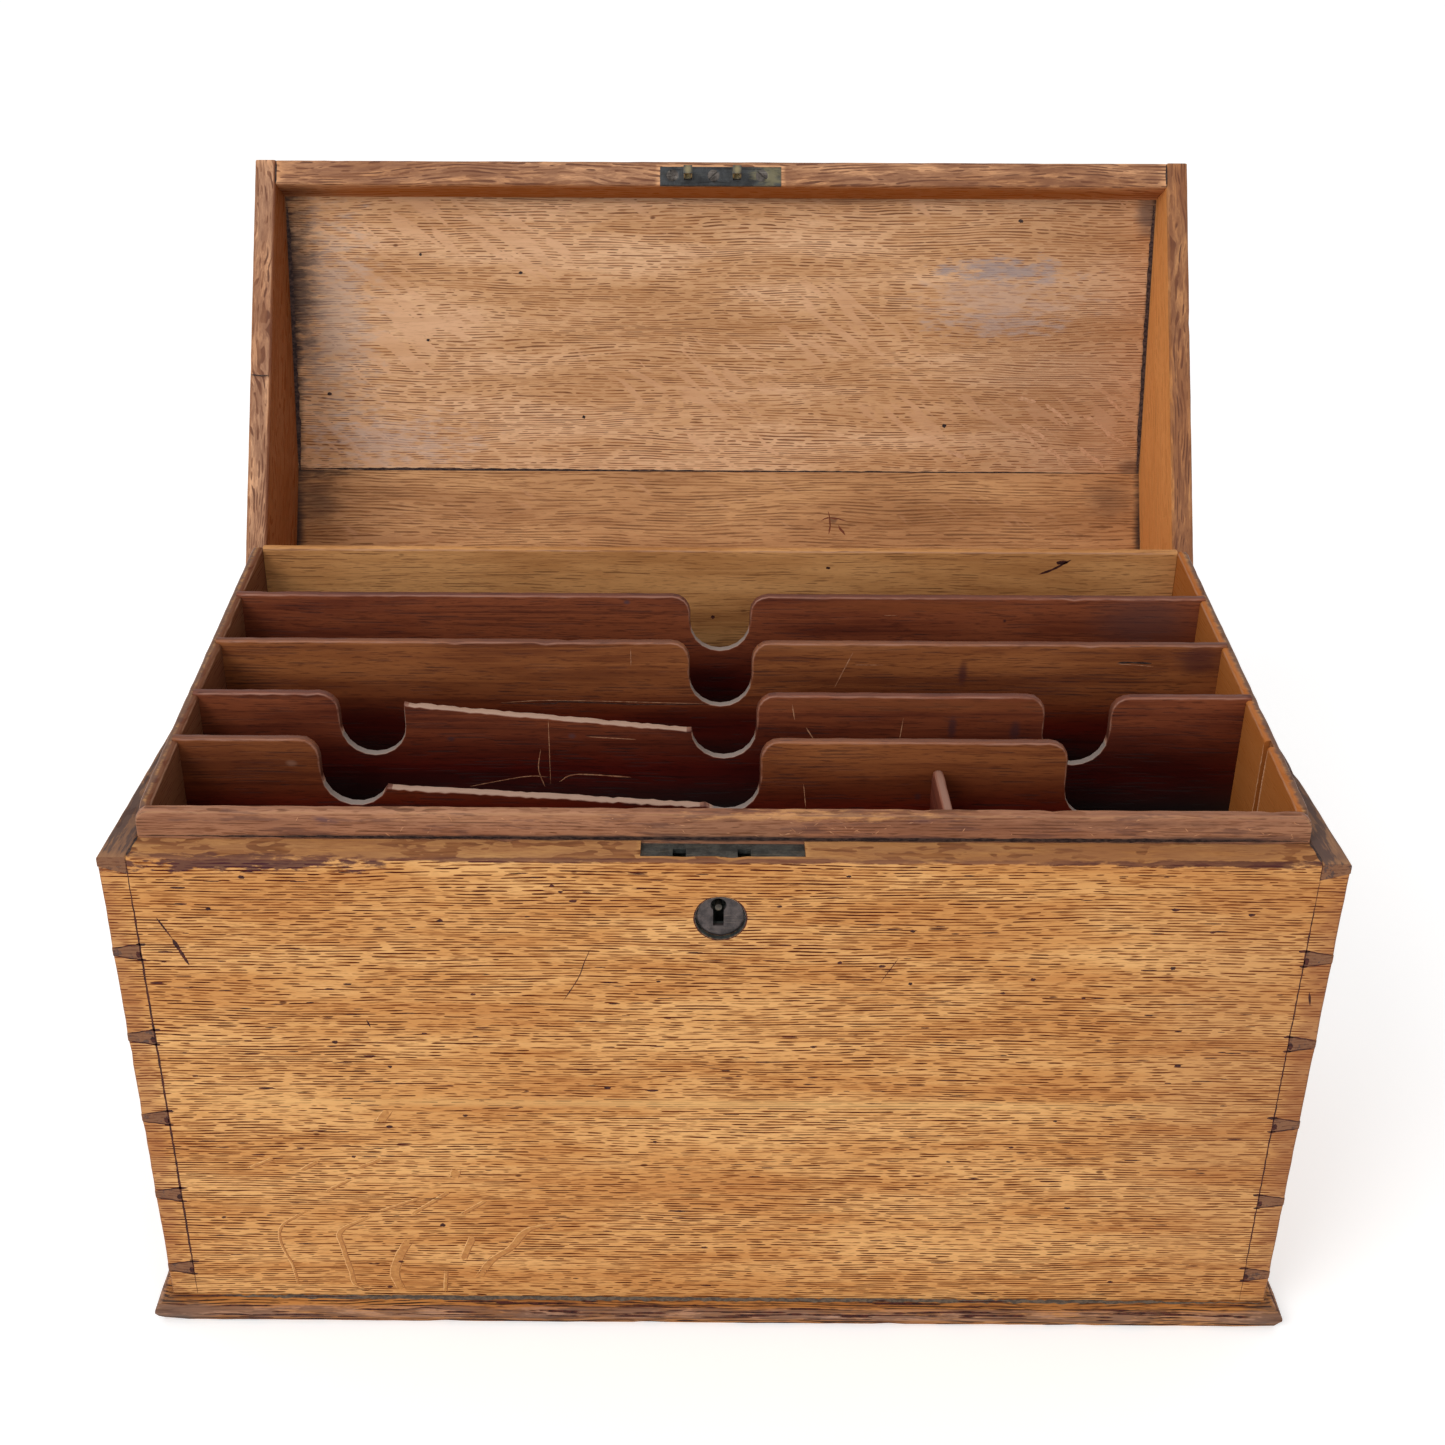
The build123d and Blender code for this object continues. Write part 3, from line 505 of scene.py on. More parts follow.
        facing, upward = shader.along(normal, lengthways), shader.part(normal, "Z")
        ends = shader.step(shader.sum("ABSOLUTE", facing), 0.55, 0.9, 0.0, 0.8)
        colour = shader.mix(ends, colour, self.end)
        colour = shader.mix(shader.step(upward, 0.6, 0.95, 0.0, self.top_strength), colour, self.top)
        marked = lay_marks(shader, place, colour, marks)
        colour = shader.mix(shader.step(upward, 0.1, 0.4), marked, colour) if leaning else marked
        # Painted shade down in the narrow rooms of the box.
        if self.depth_shade_strength:
            colour = self.paint_depth_shade(shader, place, colour)
        scuff = shader.noise(path, (0.05, 0.3, 0.3), 5.0, 0.7)
        colour = self.wear_down(shader, path, colour, scuff, (upward, facing))

        hollow = shader.sum("MAXIMUM", pore, pit)
        relief = shader.sum("MULTIPLY_ADD", hollow, -1.0, shader.times(streak, 0.5))
        bump = shader.bump(shader.sum("MULTIPLY_ADD", scuff, 0.3, relief), self.bump)
        rough = shader.sum("MULTIPLY_ADD", pore, 0.25, self.roughness - 0.1)
        rough = shader.sum("MULTIPLY_ADD", scuff, 0.2, rough)
        return shader.finish(
            Base_Color=colour, Roughness=rough, Normal=bump, Specular_IOR_Level=self.sheen
        )


@dataclass(frozen=True)
class Filling:
    """A finish for what lies in or on a board's face: dirt, a smooth ray, a scratch, a joint line, or a line
    of painted shade or light.
    """

    name: str
    colour: Colour
    other: Colour
    roughness: float = 0.7

    def material(self) -> Material:
        """Makes the finish, with one colour breaking through the other.

        Returns:
            The material.
        """
        shader = Shader(self.name)
        place = shader.millimetres()
        blotch = shader.noise(place, (0.5, 0.9, 0.9), 4.0, 0.65)
        colour = shader.mix(shader.step(blotch, 0.4, 0.6), self.colour, self.other)
        bump = shader.bump(blotch, 0.4, 0.0002)
        return shader.finish(
            Base_Color=colour, Roughness=self.roughness, Normal=bump, Specular_IOR_Level=0.25
        )


DIRT = Filling("dirt_in_dents", (50, 22, 20), (84, 40, 30))
# DARK_LINE also paints the shade along the lip's foot; elsewhere it is joints, gaps and cracks.
DARK_LINE = Filling("dark_joint_and_shade_line", (40, 28, 28), (74, 56, 50))
PALE_SCRATCH = Filling("pale_scratches", (186, 134, 100), (150, 96, 68))
SMOOTH_RAY = Filling("smooth_rays", (202, 142, 78), (184, 122, 64), 0.4)
RAY_SHADE = Filling("shaded_ray_edges", (150, 92, 44), (170, 110, 58), 0.5)
RAY_LIGHT = Filling("lit_ray_edges", (236, 184, 122), (220, 164, 102), 0.4)
PALE_RAY = Filling("pale_rays", (212, 162, 124), (192, 142, 102), 0.4)
# Dark joint lines widened into painted shade, in the corners of the lid's boards.
JOINT_SHADE_LINE = Filling("joint_shade_line", (88, 68, 62), (48, 36, 36))
PALE_SCUFF = Filling("pale_scuffs", (220, 166, 124), (188, 130, 92))
RUST = Filling("rusty_scratches", (122, 62, 36), (100, 50, 32))
BASE_DIRT = Filling("dirt_at_the_foot", (84, 74, 66), (112, 98, 84), 0.9)


@dataclass(frozen=True)
class OldMetal:
    """A dulled metal: patina over the bright metal, which shows where it is rubbed."""

    name: str
    patina: Colour
    dark: Colour
    bright: Colour
    shine: float = 0.35
    metal: float = 0.75
    rubbed: float = 0.35

    def material(self, name: str = "trim", marks: Sequence[Mark] = ()) -> Material:
        """Makes the finish for one fitting.

        Args:
            name: the fitting that it is for.
            marks: rubbed or dirty places.

        Returns:
            The material.
        """
        shader = Shader(f"{self.name}_{name}")
        place = shader.millimetres()
        blotch = shader.noise(place, (0.26, 0.26, 0.26), 5.0, 0.65)
        speck = shader.noise(place, (1.4, 1.4, 1.4), 3.0, 0.6)
        brush = shader.noise(place, (0.09, 2.6, 2.6), 2.0, 0.6)
        colour = shader.mix(shader.step(blotch, 0.35, 0.65), self.dark, self.patina)
        colour = shader.mix(shader.step(speck, 0.56, 0.68, 0.0, 0.7), colour, self.dark)
        colour = shader.mix(shader.step(brush, 0.58, 0.7, 0.0, self.rubbed), colour, self.bright)
        colour = shader.mix(shader.times(shader.wear(), self.rubbed), colour, self.bright)
        colour = lay_marks(shader, place, colour, marks)
        height = shader.sum("MULTIPLY_ADD", brush, 0.5, shader.sum("ADD", speck, blotch))
        bump = shader.bump(height, 0.35)
        rough = shader.step(blotch, 0.3, 0.7, self.shine + 0.22, self.shine)
        return shader.finish(Base_Color=colour, Metallic=self.metal, Roughness=rough, Normal=bump)


WOODS = {
    "front": Wood(
        "oak_front", pale=(238, 181, 116), middle=(214, 151, 88), deep=(190, 121, 66),
        pore=(110, 42, 2), dark_pore=(72, 18, 8), end=(112, 74, 56), edge=(150, 100, 68),
        spacing=1.05, dash=3.0, level=0.43, pore_strength=1.0, sway=1.3, hair=0.6,
        top=(150, 104, 66), top_strength=0.5, ray=0.0, sheen=0.08, bump=0.4,
    ),
    "carcass": Wood(
        "oak_carcass", pale=(212, 156, 104), middle=(192, 136, 86), deep=(156, 104, 64),
        pore=(112, 60, 30), dark_pore=(70, 30, 18), end=(114, 76, 58), edge=(104, 76, 66),
        spacing=1.1, dash=3.6, level=0.43, pore_strength=0.85, sway=1.5, hair=0.5, ray=0.2,
        grime=0.8, grime_colour=(82, 64, 60), grime_sides=0.15, top=(124, 92, 72), top_strength=0.6,
        roughness=0.6,
    ),
    "base": Wood(
        "oak_base", pale=(202, 138, 72), middle=(176, 114, 56), deep=(130, 78, 40),
        pore=(70, 34, 20), dark_pore=(36, 16, 12), end=(96, 66, 48), edge=(180, 138, 112),
        spacing=0.9, dash=11.0, level=0.43, pore_strength=0.95, hair=0.8, ray=0.0,
        edge_strength=0.75, grime=0.5, grime_colour=(78, 50, 42), roughness=0.6,
    ),
    "lid": Wood(
        "oak_lid", pale=(234, 187, 144), middle=(216, 165, 118), deep=(184, 131, 84),
        pore=(148, 86, 40), dark_pore=(106, 56, 30), end=(110, 74, 52), edge=(162, 116, 90),
        spacing=1.05, dash=2.6, level=0.41, pore_strength=0.8, ray_turn=-35.0,
        ray_colour=(218, 166, 130), bump=0.4,
    ),
    "mahogany": Wood(
        "mahogany", pale=(168, 106, 64), middle=(142, 82, 48), deep=(108, 52, 32),
        pore=(84, 38, 22), dark_pore=(50, 18, 12), end=(96, 58, 44), edge=(166, 118, 98),
        spacing=1.3, dash=7.0, level=0.56, pore_strength=0.6, hair=0.6, sway=1.2, streak=0.8,
        cloud=0.8, pits=0.3, ray=0.0, edge_strength=0.8, roughness=0.45, sheen=0.35, bump=0.2,
        top=(92, 58, 52), top_strength=0.6, depth_shade_strength=1.0, depth_shade_from=206.0, depth_shade_to=176.0,
    ),
    "liner": Wood(
        "mahogany_light", pale=(204, 152, 98), middle=(184, 130, 78), deep=(146, 94, 56),
        pore=(110, 62, 36), dark_pore=(66, 32, 20), end=(112, 76, 56), edge=(178, 134, 108),
        spacing=1.2, dash=6.0, level=0.54, pore_strength=0.55, hair=0.45, sway=1.2, streak=0.5,
        cloud=0.7, pits=0.4, ray=0.0, edge_strength=0.7, bump=0.2,
    ),
}
WOODS["flat"] = replace(
    WOODS["lid"], pale=(212, 159, 108), middle=(190, 137, 90), deep=(154, 104, 62),
    pore=(124, 74, 38), dark_pore=(86, 46, 26), spacing=1.3, dash=5.0, pore_strength=0.62, hair=0.5,
    ray=0.3,
)
WOODS["rail"] = replace(
    WOODS["lid"], pale=(230, 172, 126), middle=(212, 152, 104), deep=(152, 98, 64),
    pore=(112, 64, 42), dark_pore=(70, 40, 36), spacing=1.3, dash=3.2, level=0.44, sway=3.6,
    ray=0.0, grime=0.4, grime_colour=(112, 66, 46), grime_sides=0.3, edge=(112, 70, 54),
)
WOODS["lip"] = replace(
    WOODS["liner"], pale=(182, 130, 98), middle=(162, 110, 82), deep=(122, 78, 56), hair=0.6,
    dash=4.0, level=0.48, grime=0.5, grime_colour=(100, 68, 62), edge=(178, 130, 92),
)
WOODS["brown divider"] = replace(
    WOODS["mahogany"], pale=(162, 98, 54), middle=(136, 76, 40), deep=(102, 50, 28), depth_shade_from=204.0
)
WOODS["red divider"] = replace(
    WOODS["mahogany"], pale=(140, 74, 44), middle=(114, 54, 32), deep=(82, 34, 22), pore=(66, 26, 18)
)
BRASS = OldMetal("old_brass", patina=(104, 98, 88), dark=(58, 54, 50), bright=(196, 166, 110))
DARK_BRASS = OldMetal(
    "dark_brass", patina=(86, 76, 74), dark=(50, 44, 44), bright=(128, 114, 104), metal=0.35
)
DULL_BRASS = OldMetal(
    "dull_brass", patina=(92, 96, 92), dark=(60, 62, 60), bright=(150, 140, 112), metal=0.35
)
BLACK_BRASS = OldMetal(
    "black_brass", patina=(66, 68, 70), dark=(44, 45, 47), bright=(122, 118, 96), metal=0.3, rubbed=0.15
)
STEEL = OldMetal("steel_screws", patina=(112, 104, 98), dark=(62, 56, 52), bright=(190, 184, 176))


# ------------------------------ boards
@dataclass(frozen=True)
class Edging:
    """How an edge is rounded and worn: its rounding, its points' spacing and how far it wanders.

    It is rubbed most along its two corners. The crown is the share of that rubbing between them.
    """

    rounding: float
    spacing: float
    wander: float
    chips: float = 0.0
    tear: float = 0.0
    rubbed: float = 1.0
    crown: float = 1.0


class Edge(Enum):
    """The kinds of edge that the boards have."""

    TIGHT = Edging(0.12, 400.0, 0.0, rubbed=0.15)
    SOFT = Edging(0.4, 9.0, 0.06, rubbed=0.5)
    WORN = Edging(0.9, 5.0, 0.22, 0.012)
    CREST = Edging(1.2, 4.0, 0.14, 0.006, rubbed=0.9, crown=0.1)
    SHOULDER = Edging(1.0, 2.5, 0.08, rubbed=0.9, crown=0.1)
    NOTCH = Edging(0.5, 3.0, 0.1, rubbed=0.4, crown=4.6)
    TORN = Edging(0.8, 1.9, 0.3, 0.0, 0.55, rubbed=1.2)


Corner = tuple[float, float, Edge]


@dataclass(frozen=True)
class Seat:
    """Where a board's own axes lie: along, up and through it, from an origin in millimetres."""

    origin: Point3
    along: Point3
    up: Point3
    through: Point3
    leaning: bool = False

    def put(self, points: np.ndarray) -> np.ndarray:
        """Takes rows of along, up and through to x, y and z in metres, open if it is the lid's."""
        placed = points @ np.array((self.along, self.up, self.through), float) + np.array(self.origin, float)
        return opened(placed) * MM if self.leaning else placed * MM


def standing(y: float, leaning: bool = False) -> Seat:
    """A seat on a face that looks to the front: along x and up z."""
    return Seat((0, y, 0), (1, 0, 0), (0, 0, 1), (0, 1, 0), leaning)


def lying(z: float, y: float = 0.0, leaning: bool = False) -> Seat:
    """A seat on a level face: along x and back along y."""
    return Seat((0, y, z), (1, 0, 0), (0, 1, 0), (0, 0, 1), leaning)


def side_on(x: float, side: int, leaning: bool = False) -> Seat:
    """A seat on a face that looks to a side: along y and up z."""
    return Seat((x, 0, 0), (0, 1, 0), (0, 0, 1), (side, 0, 0), leaning)


def linked(name: str, mesh: Mesh) -> Piece:
    """Puts a mesh into the scene as a new object.

    Args:
        name: the object's name.
        mesh: its mesh.

    Returns:
        The object.
    """
    piece = bpy.data.objects.new(name, mesh)
    bpy.context.scene.collection.objects.link(piece)
    return piece


def opened(points: np.ndarray) -> np.ndarray:
    """Turns points of the shut lid to where the lid stands open.

    Args:
        points: rows of x, y and z, in millimetres.

    Returns:
        The turned rows.
    """
    angle = math.radians(-LID_OPENING)
    y, z = points[:, 1] - HINGE_Y, points[:, 2] - HINGE_Z
    turned = np.array(points)
    turned[:, 1] = HINGE_Y + y * math.cos(angle) - z * math.sin(angle)
    turned[:, 2] = HINGE_Z + y * math.sin(angle) + z * math.cos(angle)
    return turned


def arc(
    centre: Point2, radius: float, start: float, end: float, edge: Edge, count: int = 5
) -> list[Corner]:
    """The corners of an arc, in degrees from start to end, ends included."""
    angles = np.radians(np.linspace(start, end, count))
    return [(centre[0] + radius * math.cos(a), centre[1] + radius * math.sin(a), edge) for a in angles]


def end_with(path: list[Corner], edge: Edge) -> None:
    """Changes the kind of edge that leaves a path's last corner."""
    path[-1] = (*path[-1][:2], edge)


class SideOutline:
    """Both faces' outlines of a side board, whose pins are wide inside and narrow outside."""

    def __init__(self) -> None:
        """Starts both outlines empty."""
        self.near: list[Corner] = []
        self.far: list[Point2] = []

    def add(self, u: float, v: float, edge: Edge, far: Point2 | None = None) -> None:
        """Adds a corner to the inner face, and to the outer face where far says or just behind."""
        self.near.append((u, v, edge))
        self.far.append(far or (u, v))

    def pin(self, foot: float, face: float, z: float, base: float, tip: float, way: int) -> None:
        """Adds the four corners of a pin.

        Args:
            foot: where the pin leaves the board.
            face: where it ends.
            z: its middle height.
            base: its height on the inner face.
            tip: its height on the outer face.
            way: 1 where the outline goes up, -1 where it goes down.
        """
        places = ((foot, -way), (face, -way), (face, way), (foot, way))
        kinds = (Edge.TIGHT, Edge.SOFT, Edge.TIGHT, Edge.TIGHT)
        for (u, sign), kind in zip(places, kinds):
            self.add(u, z + sign * base / 2, kind, (u, z + sign * tip / 2))


def wander(lengths: np.ndarray, rng: np.random.Generator, waves: Sequence[float]) -> np.ndarray:
    """A smooth seeded wandering from 0 to 1, at each length along an edge, made of waves."""
    total = sum(np.sin(2 * np.pi * lengths / wave + rng.uniform(0, 6.28)) for wave in waves)
    return 0.5 + 0.5 * total / len(waves)


def inset(outline: np.ndarray, before: np.ndarray, after: np.ndarray) -> np.ndarray:
    """The way each point moves for the edges beside it to move inward by their own amounts.

    Args:
        outline: the points in order, inside on the left.
        before: the amount for the edge that comes to each point.
        after: the amount for the edge that leaves it.

    Returns:
        A vector for each point.
    """
    leaving = np.roll(outline, -1, 0) - outline
    leaving /= np.maximum(np.linalg.norm(leaving, axis=1, keepdims=True), 1e-9)
    coming = np.roll(leaving, 1, 0)
    inner_after = np.stack((-leaving[:, 1], leaving[:, 0]), 1)
    inner_before = np.stack((-coming[:, 1], coming[:, 0]), 1)
    cross = inner_before[:, 0] * inner_after[:, 1] - inner_before[:, 1] * inner_after[:, 0]
    moves = np.zeros_like(outline)
    straight = np.abs(cross) < 0.35
    mean = inner_before + inner_after
    mean /= np.maximum(np.linalg.norm(mean, axis=1, keepdims=True), 1e-9)
    moves[straight] = mean[straight] * ((before + after) / 2)[straight, None]
    bent = ~straight
    x = (before * inner_after[:, 1] - after * inner_before[:, 1])[bent] / cross[bent]
    y = (after * inner_before[:, 0] - before * inner_after[:, 0])[bent] / cross[bent]
    moves[bent] = np.stack((x, y), 1)
    return moves


class BoardMaker:
    """Builds a board from its outline, with its edges rounded, worn and torn as each one says."""

    rings = 3

    def __init__(self, seed: int) -> None:
        """Starts the wear that the seed fixes."""
        self.rng = np.random.default_rng(seed)

    def spread(
        self, near: Sequence[Corner], far: Sequence[Point2]
    ) -> tuple[np.ndarray, np.ndarray, list[Edge], list[Edge]]:
        """Divides the outlines of both faces into closer points.

        Args:
            near: the near face's corners, with the edge that leaves each.
            far: the far face's corners.

        Returns:
            The near points, the far points, and the kinds of edge before and after each point.
        """
        near_points, far_points, before, after = [], [], [], []
        for n, (u, v, edge) in enumerate(near):
            last = near[n - 1][2]
            u2, v2, _ = near[(n + 1) % len(near)]
            q, q2 = far[n], far[(n + 1) % len(far)]
            count = max(1, round(math.hypot(u2 - u, v2 - v) / edge.value.spacing))
            for k in range(count):
                t = k / count
                near_points.append((u + (u2 - u) * t, v + (v2 - v) * t))
                far_points.append((q[0] + (q2[0] - q[0]) * t, q[1] + (q2[1] - q[1]) * t))
                before.append(edge if k else last)
                after.append(edge)
        return np.array(near_points), np.array(far_points), before, after

    def worn(self, outline: np.ndarray, before: list[Edge], after: list[Edge]) -> np.ndarray:
        """Moves an outline's points inward by its edges' wander, chips and tears.

        Args:
            outline: the points in order.
            before: the kind of edge before each point.
            after: the kind of edge after each point.

        Returns:
            The moved points.
        """
        gaps = np.linalg.norm(np.roll(outline, -1, 0) - outline, axis=1)
        lengths = np.concatenate(([0.0], np.cumsum(gaps)[:-1]))
        amounts = np.array([min(b.value.wander, a.value.wander) for b, a in zip(before, after)])
        depth = amounts * wander(lengths, self.rng, (83.0, 37.0, 17.0, 9.0))
        for n, (b, a) in enumerate(zip(before, after)):
            chipped = min(b.value.chips, a.value.chips)
            if chipped and self.rng.random() < a.value.chips * a.value.spacing:
                depth[n] += self.rng.uniform(0.25, 0.8)
            if b.value.tear and a.value.tear:
                depth[n] += a.value.tear * self.rng.random() ** 2
        return outline + inset(outline, depth, depth)

    def make(
        self,
        name: str,
        near: Sequence[Corner],
        depth: float,
        seat: Seat,
        far: Sequence[Point2] | None = None,
        far_rounding: float = 1.0,
    ) -> Piece:
        """Builds the board.

        Args:
            name: the piece's name.
            near: the near face's corners, inside on the left, with the edge that leaves each.
            depth: the board's thickness.
            seat: where the board's axes lie.
            far: the far face's corners, where they differ.
            far_rounding: how the far face's roundings compare with the near face's.

        Returns:
            The board, linked into the scene.
        """
        far = far or [(u, v) for u, v, _ in near]
        near_points, far_points, before, after = self.spread(near, far)
        near_points = self.worn(near_points, before, after)
        far_points = self.worn(far_points, before, after)
        spread = 0.8 + 0.4 * self.rng.random(len(near_points))
        rounding_before = np.array([e.value.rounding for e in before]) * spread
        rounding_after = np.array([e.value.rounding for e in after]) * spread
        fall = np.minimum(np.maximum(rounding_before, rounding_after), 0.45 * depth)
        rubbed = np.array([min(b.value.rubbed, a.value.rubbed) for b, a in zip(before, after)])
        crown = np.array([min(b.value.crown, a.value.crown) for b, a in zip(before, after)])
        loops = []
        for far_side in (False, True):
            scale = far_rounding if far_side else 1.0
            own, other = (far_points, near_points) if far_side else (near_points, far_points)
            moves = inset(own, rounding_before * scale, rounding_after * scale)
            rows = []
            for k in range(self.rings + 1):
                angle = math.pi / 2 * k / self.rings
                down = fall * scale * (1 - math.cos(angle))
                share = (down / depth)[:, None]
                flat = own * (1 - share) + other * share + moves * (1 - math.sin(angle))
                through = depth - down if far_side else down
                rubbing = rubbed * (0.0 if k == 0 else crown if k > 1 else 1.0)
                rows.append((np.column_stack((flat, through)), rubbing))
            loops += rows[::-1] if far_side else rows
        mesh = self.skin(name, [seat.put(rows) for rows, _ in loops], [wear for _, wear in loops])
        return linked(name, mesh)

    def skin(self, name: str, loops: list[np.ndarray], wear: list[np.ndarray]) -> Mesh:
        """Joins rings of points into a closed mesh with a flat face at each end.

        Args:
            name: the mesh's name.
            loops: the rings in order, each with the same number of points.
            wear: how worn each ring's points are.

        Returns:
            The mesh, with its wear as an attribute.
        """
        mesh = bpy.data.meshes.new(name)
        mesh.from_pydata(np.concatenate(loops).tolist(), [], tube(len(loops), len(loops[0]), 0))
        attribute = mesh.attributes.new("wear", "FLOAT", "POINT")
        attribute.data.foreach_set("value", np.concatenate(wear).astype(np.float32))
        tidy_normals(mesh)
        return mesh


def tube(rows: int, count: int, start: int) -> list[list[int]]:
    """Faces of a closed tube with a flat face at each end.

    Args:
        rows: the number of its rings.
        count: the number of points in each ring.
        start: the first point's number.

    Returns:
        Each face's points.
    """
    last = start + (rows - 1) * count
    faces = [list(range(start, start + count)), list(range(last, last + count))[::-1]]
    for low in range(start, last, count):
        for n in range(count):
            m = (n + 1) % count
            faces.append([low + m, low + n, low + count + n, low + count + m])
    return faces


class Tracer:
    """Lays dents, rays, scratches, joint lines and lines of painted shade on a board's face, as thin
    fillings.
    """

    def __init__(self, seat: Seat, seed: int, lift: float = 0.03) -> None:
        """Starts an empty set of fillings.

        Args:
            seat: where the face's axes lie.
            seed: the number that fixes the shapes.
            lift: how far they stand out of the face.
        """
        self.seat = seat
        self.rng = np.random.default_rng(seed)
        self.lift = lift
        self.points: list[np.ndarray] = []
        self.faces: list[list[int]] = []

    def add(self, loops: Sequence[np.ndarray]) -> None:
        """Adds one closed shape, from rings of points on the face's own axes."""
        self.faces += tube(len(loops), len(loops[0]), sum(len(rows) for rows in self.points))
        self.points += [self.seat.put(rows) for rows in loops]

    def dent(self, u: float, v: float, half_length: float, half_height: float) -> None:
        """Adds one ragged dent.

        Args:
            u: its middle along the face.
            v: its middle up the face.
            half_length: half of its length.
            half_height: half of its height.
        """
        angles = np.linspace(0, 2 * np.pi, 15)[:-1]
        reach = 0.72 + 0.36 * self.rng.random(14)
        flat = np.stack(
            (u + half_length * reach * np.cos(angles), v + half_height * reach * np.sin(angles)), 1
        )
        self.add([np.column_stack((flat, np.full(14, depth))) for depth in (-self.lift, self.lift)])

    def line(
        self,
        points: Sequence[Point2],
        start_width: float,
        end_width: float | None = None,
        sway: float = 0.0,
    ) -> None:
        """Adds one line with pointed ends, smooth through its points.

        Args:
            points: its points on the face.
            start_width: half of its width at its start.
            end_width: half of its width at its end, where that differs.
            sway: how far it wanders.
        """
        rough = np.array(points, float)
        ends = np.vstack((2 * rough[0] - rough[1], rough, 2 * rough[-1] - rough[-2]))
        middle = []
        for n in range(1, len(ends) - 2):
            a, b, c, d = ends[n - 1 : n + 3]
            count = max(2, min(60, round(float(np.linalg.norm(c - b)) / 1.6)))
            for t in np.arange(count) / count:
                curve = 2 * b + (c - a) * t + (2 * a - 5 * b + 4 * c - d) * t**2
                middle.append(0.5 * (curve + (3 * b - a - 3 * c + d) * t**3))
        line = np.array([*middle, rough[-1]])
        along = np.gradient(line, axis=0)
        along /= np.linalg.norm(along, axis=1, keepdims=True)
        side = np.stack((-along[:, 1], along[:, 0]), 1)
        line += side * (sway * (self.rng.random(len(line)) - 0.5))[:, None]
        share = np.linspace(0, 1, len(line))
        last_width = start_width if end_width is None else end_width
        widths = start_width + (last_width - start_width) * share
        widths *= np.minimum(1, 0.15 + 6 * np.minimum(share, 1 - share))
        widths *= 0.7 + 0.6 * self.rng.random(len(line))
        loops = []
        for middle_point, way, width in zip(line, side, widths):
            a, b = middle_point - way * width, middle_point + way * width
            low, high = -self.lift, self.lift
            loops.append(np.array([(*a, low), (*b, low), (*b, high), (*a, high)]))
        self.add(loops)

    def finish(self, name: str, filling: Filling | OldMetal, slot: str) -> None:
        """Joins the fillings into one piece, which rides with its face.

        Args:
            name: the piece's name.
            filling: its finish.
            slot: not used.
        """
        mesh = bpy.data.meshes.new(name)
        mesh.from_pydata(np.concatenate(self.points).tolist(), [], self.faces)
        tidy_normals(mesh)
        mesh.materials.append(filling.material())
        piece = linked(name, mesh)
        body = "lid" if self.seat.leaning else "box"
        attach(piece, body)
        log.info("%s rides on %s", name, body)


def tidy_normals(mesh: Mesh) -> None:
    """Turns a mesh's faces outward and keeps its sharp edges sharp.

    Args:
        mesh: the mesh that is changed.
    """
    work = bmesh.new()
    work.from_mesh(mesh)
    bmesh.ops.recalc_face_normals(work, faces=work.faces)
    for face in work.faces:
        face.smooth = True
    for edge in work.edges:
        if len(edge.link_faces) == 2:
            edge.smooth = edge.calc_face_angle(0.0) < math.radians(42)
    work.to_mesh(mesh)
    work.free()


def block(low: Point3, high: Point3, leaning: bool = False) -> Piece:
    """A plain block between two corners in millimetres, to cut with, turned open if leaning."""
    grid = [(x, y, z) for x in (low[0], high[0]) for y in (low[1], high[1]) for z in (low[2], high[2])]
    return cutter(np.array(grid, float), BLOCK_FACES, leaning)


def prism(
    outline: Sequence[Point2], start: float, end: float, axis: int, leaning: bool = False
) -> Piece:
    """A prism to cut with.

    Args:
        outline: its section, in the two other axes in order.
        start: where it starts along its axis.
        end: where it ends.
        axis: 0 for x or 1 for y.
        leaning: whether it belongs to the lid.

    Returns:
        The prism.
    """
    points = []
    for along in (start, end):
        for u, v in outline:
            points.append((along, u, v) if axis == 0 else (u, along, v))
    n = len(outline)
    faces = [list(range(n)), list(range(n, 2 * n))[::-1]]
    faces += [((k + 1) % n, k, n + k, n + (k + 1) % n) for k in range(n)]
    return cutter(np.array(points, float), faces, leaning)


def cutter(points: np.ndarray, faces: Sequence[Sequence[int]], leaning: bool) -> Piece:
    """Makes an object to cut with.

    Args:
        points: its corners in millimetres.
        faces: each face's corners.
        leaning: whether it belongs to the lid.

    Returns:
        The object, not in the scene yet.
    """
    mesh = bpy.data.meshes.new("cutter")
    mesh.from_pydata(((opened(points) if leaning else points) * MM).tolist(), [], faces)
    tidy_normals(mesh)
    return bpy.data.objects.new("cutter", mesh)


def cut(piece: Piece, *cutters: Piece) -> None:
    """Cuts a board with each cutter, and takes the cutters away.

    Args:
        piece: the board.
        *cutters: what is cut from it.
    """
    for tool in cutters:
        bpy.context.scene.collection.objects.link(tool)
        step = piece.modifiers.new("cut", "BOOLEAN")
        step.operation, step.solver, step.object = "DIFFERENCE", "EXACT", tool
    graph = bpy.context.evaluated_depsgraph_get()
    mesh = bpy.data.meshes.new_from_object(piece.evaluated_get(graph))
    piece.modifiers.clear()
    piece.data = mesh
    for tool in cutters:
        bpy.data.objects.remove(tool)
    tidy_normals(mesh)


def ring(middle: Point2, radius: float, count: int = 40) -> list[Point2]:
    """Points round a circle."""
    angles = [2 * math.pi * n / count for n in range(count)]
    return [(middle[0] + radius * math.cos(a), middle[1] + radius * math.sin(a)) for a in angles]


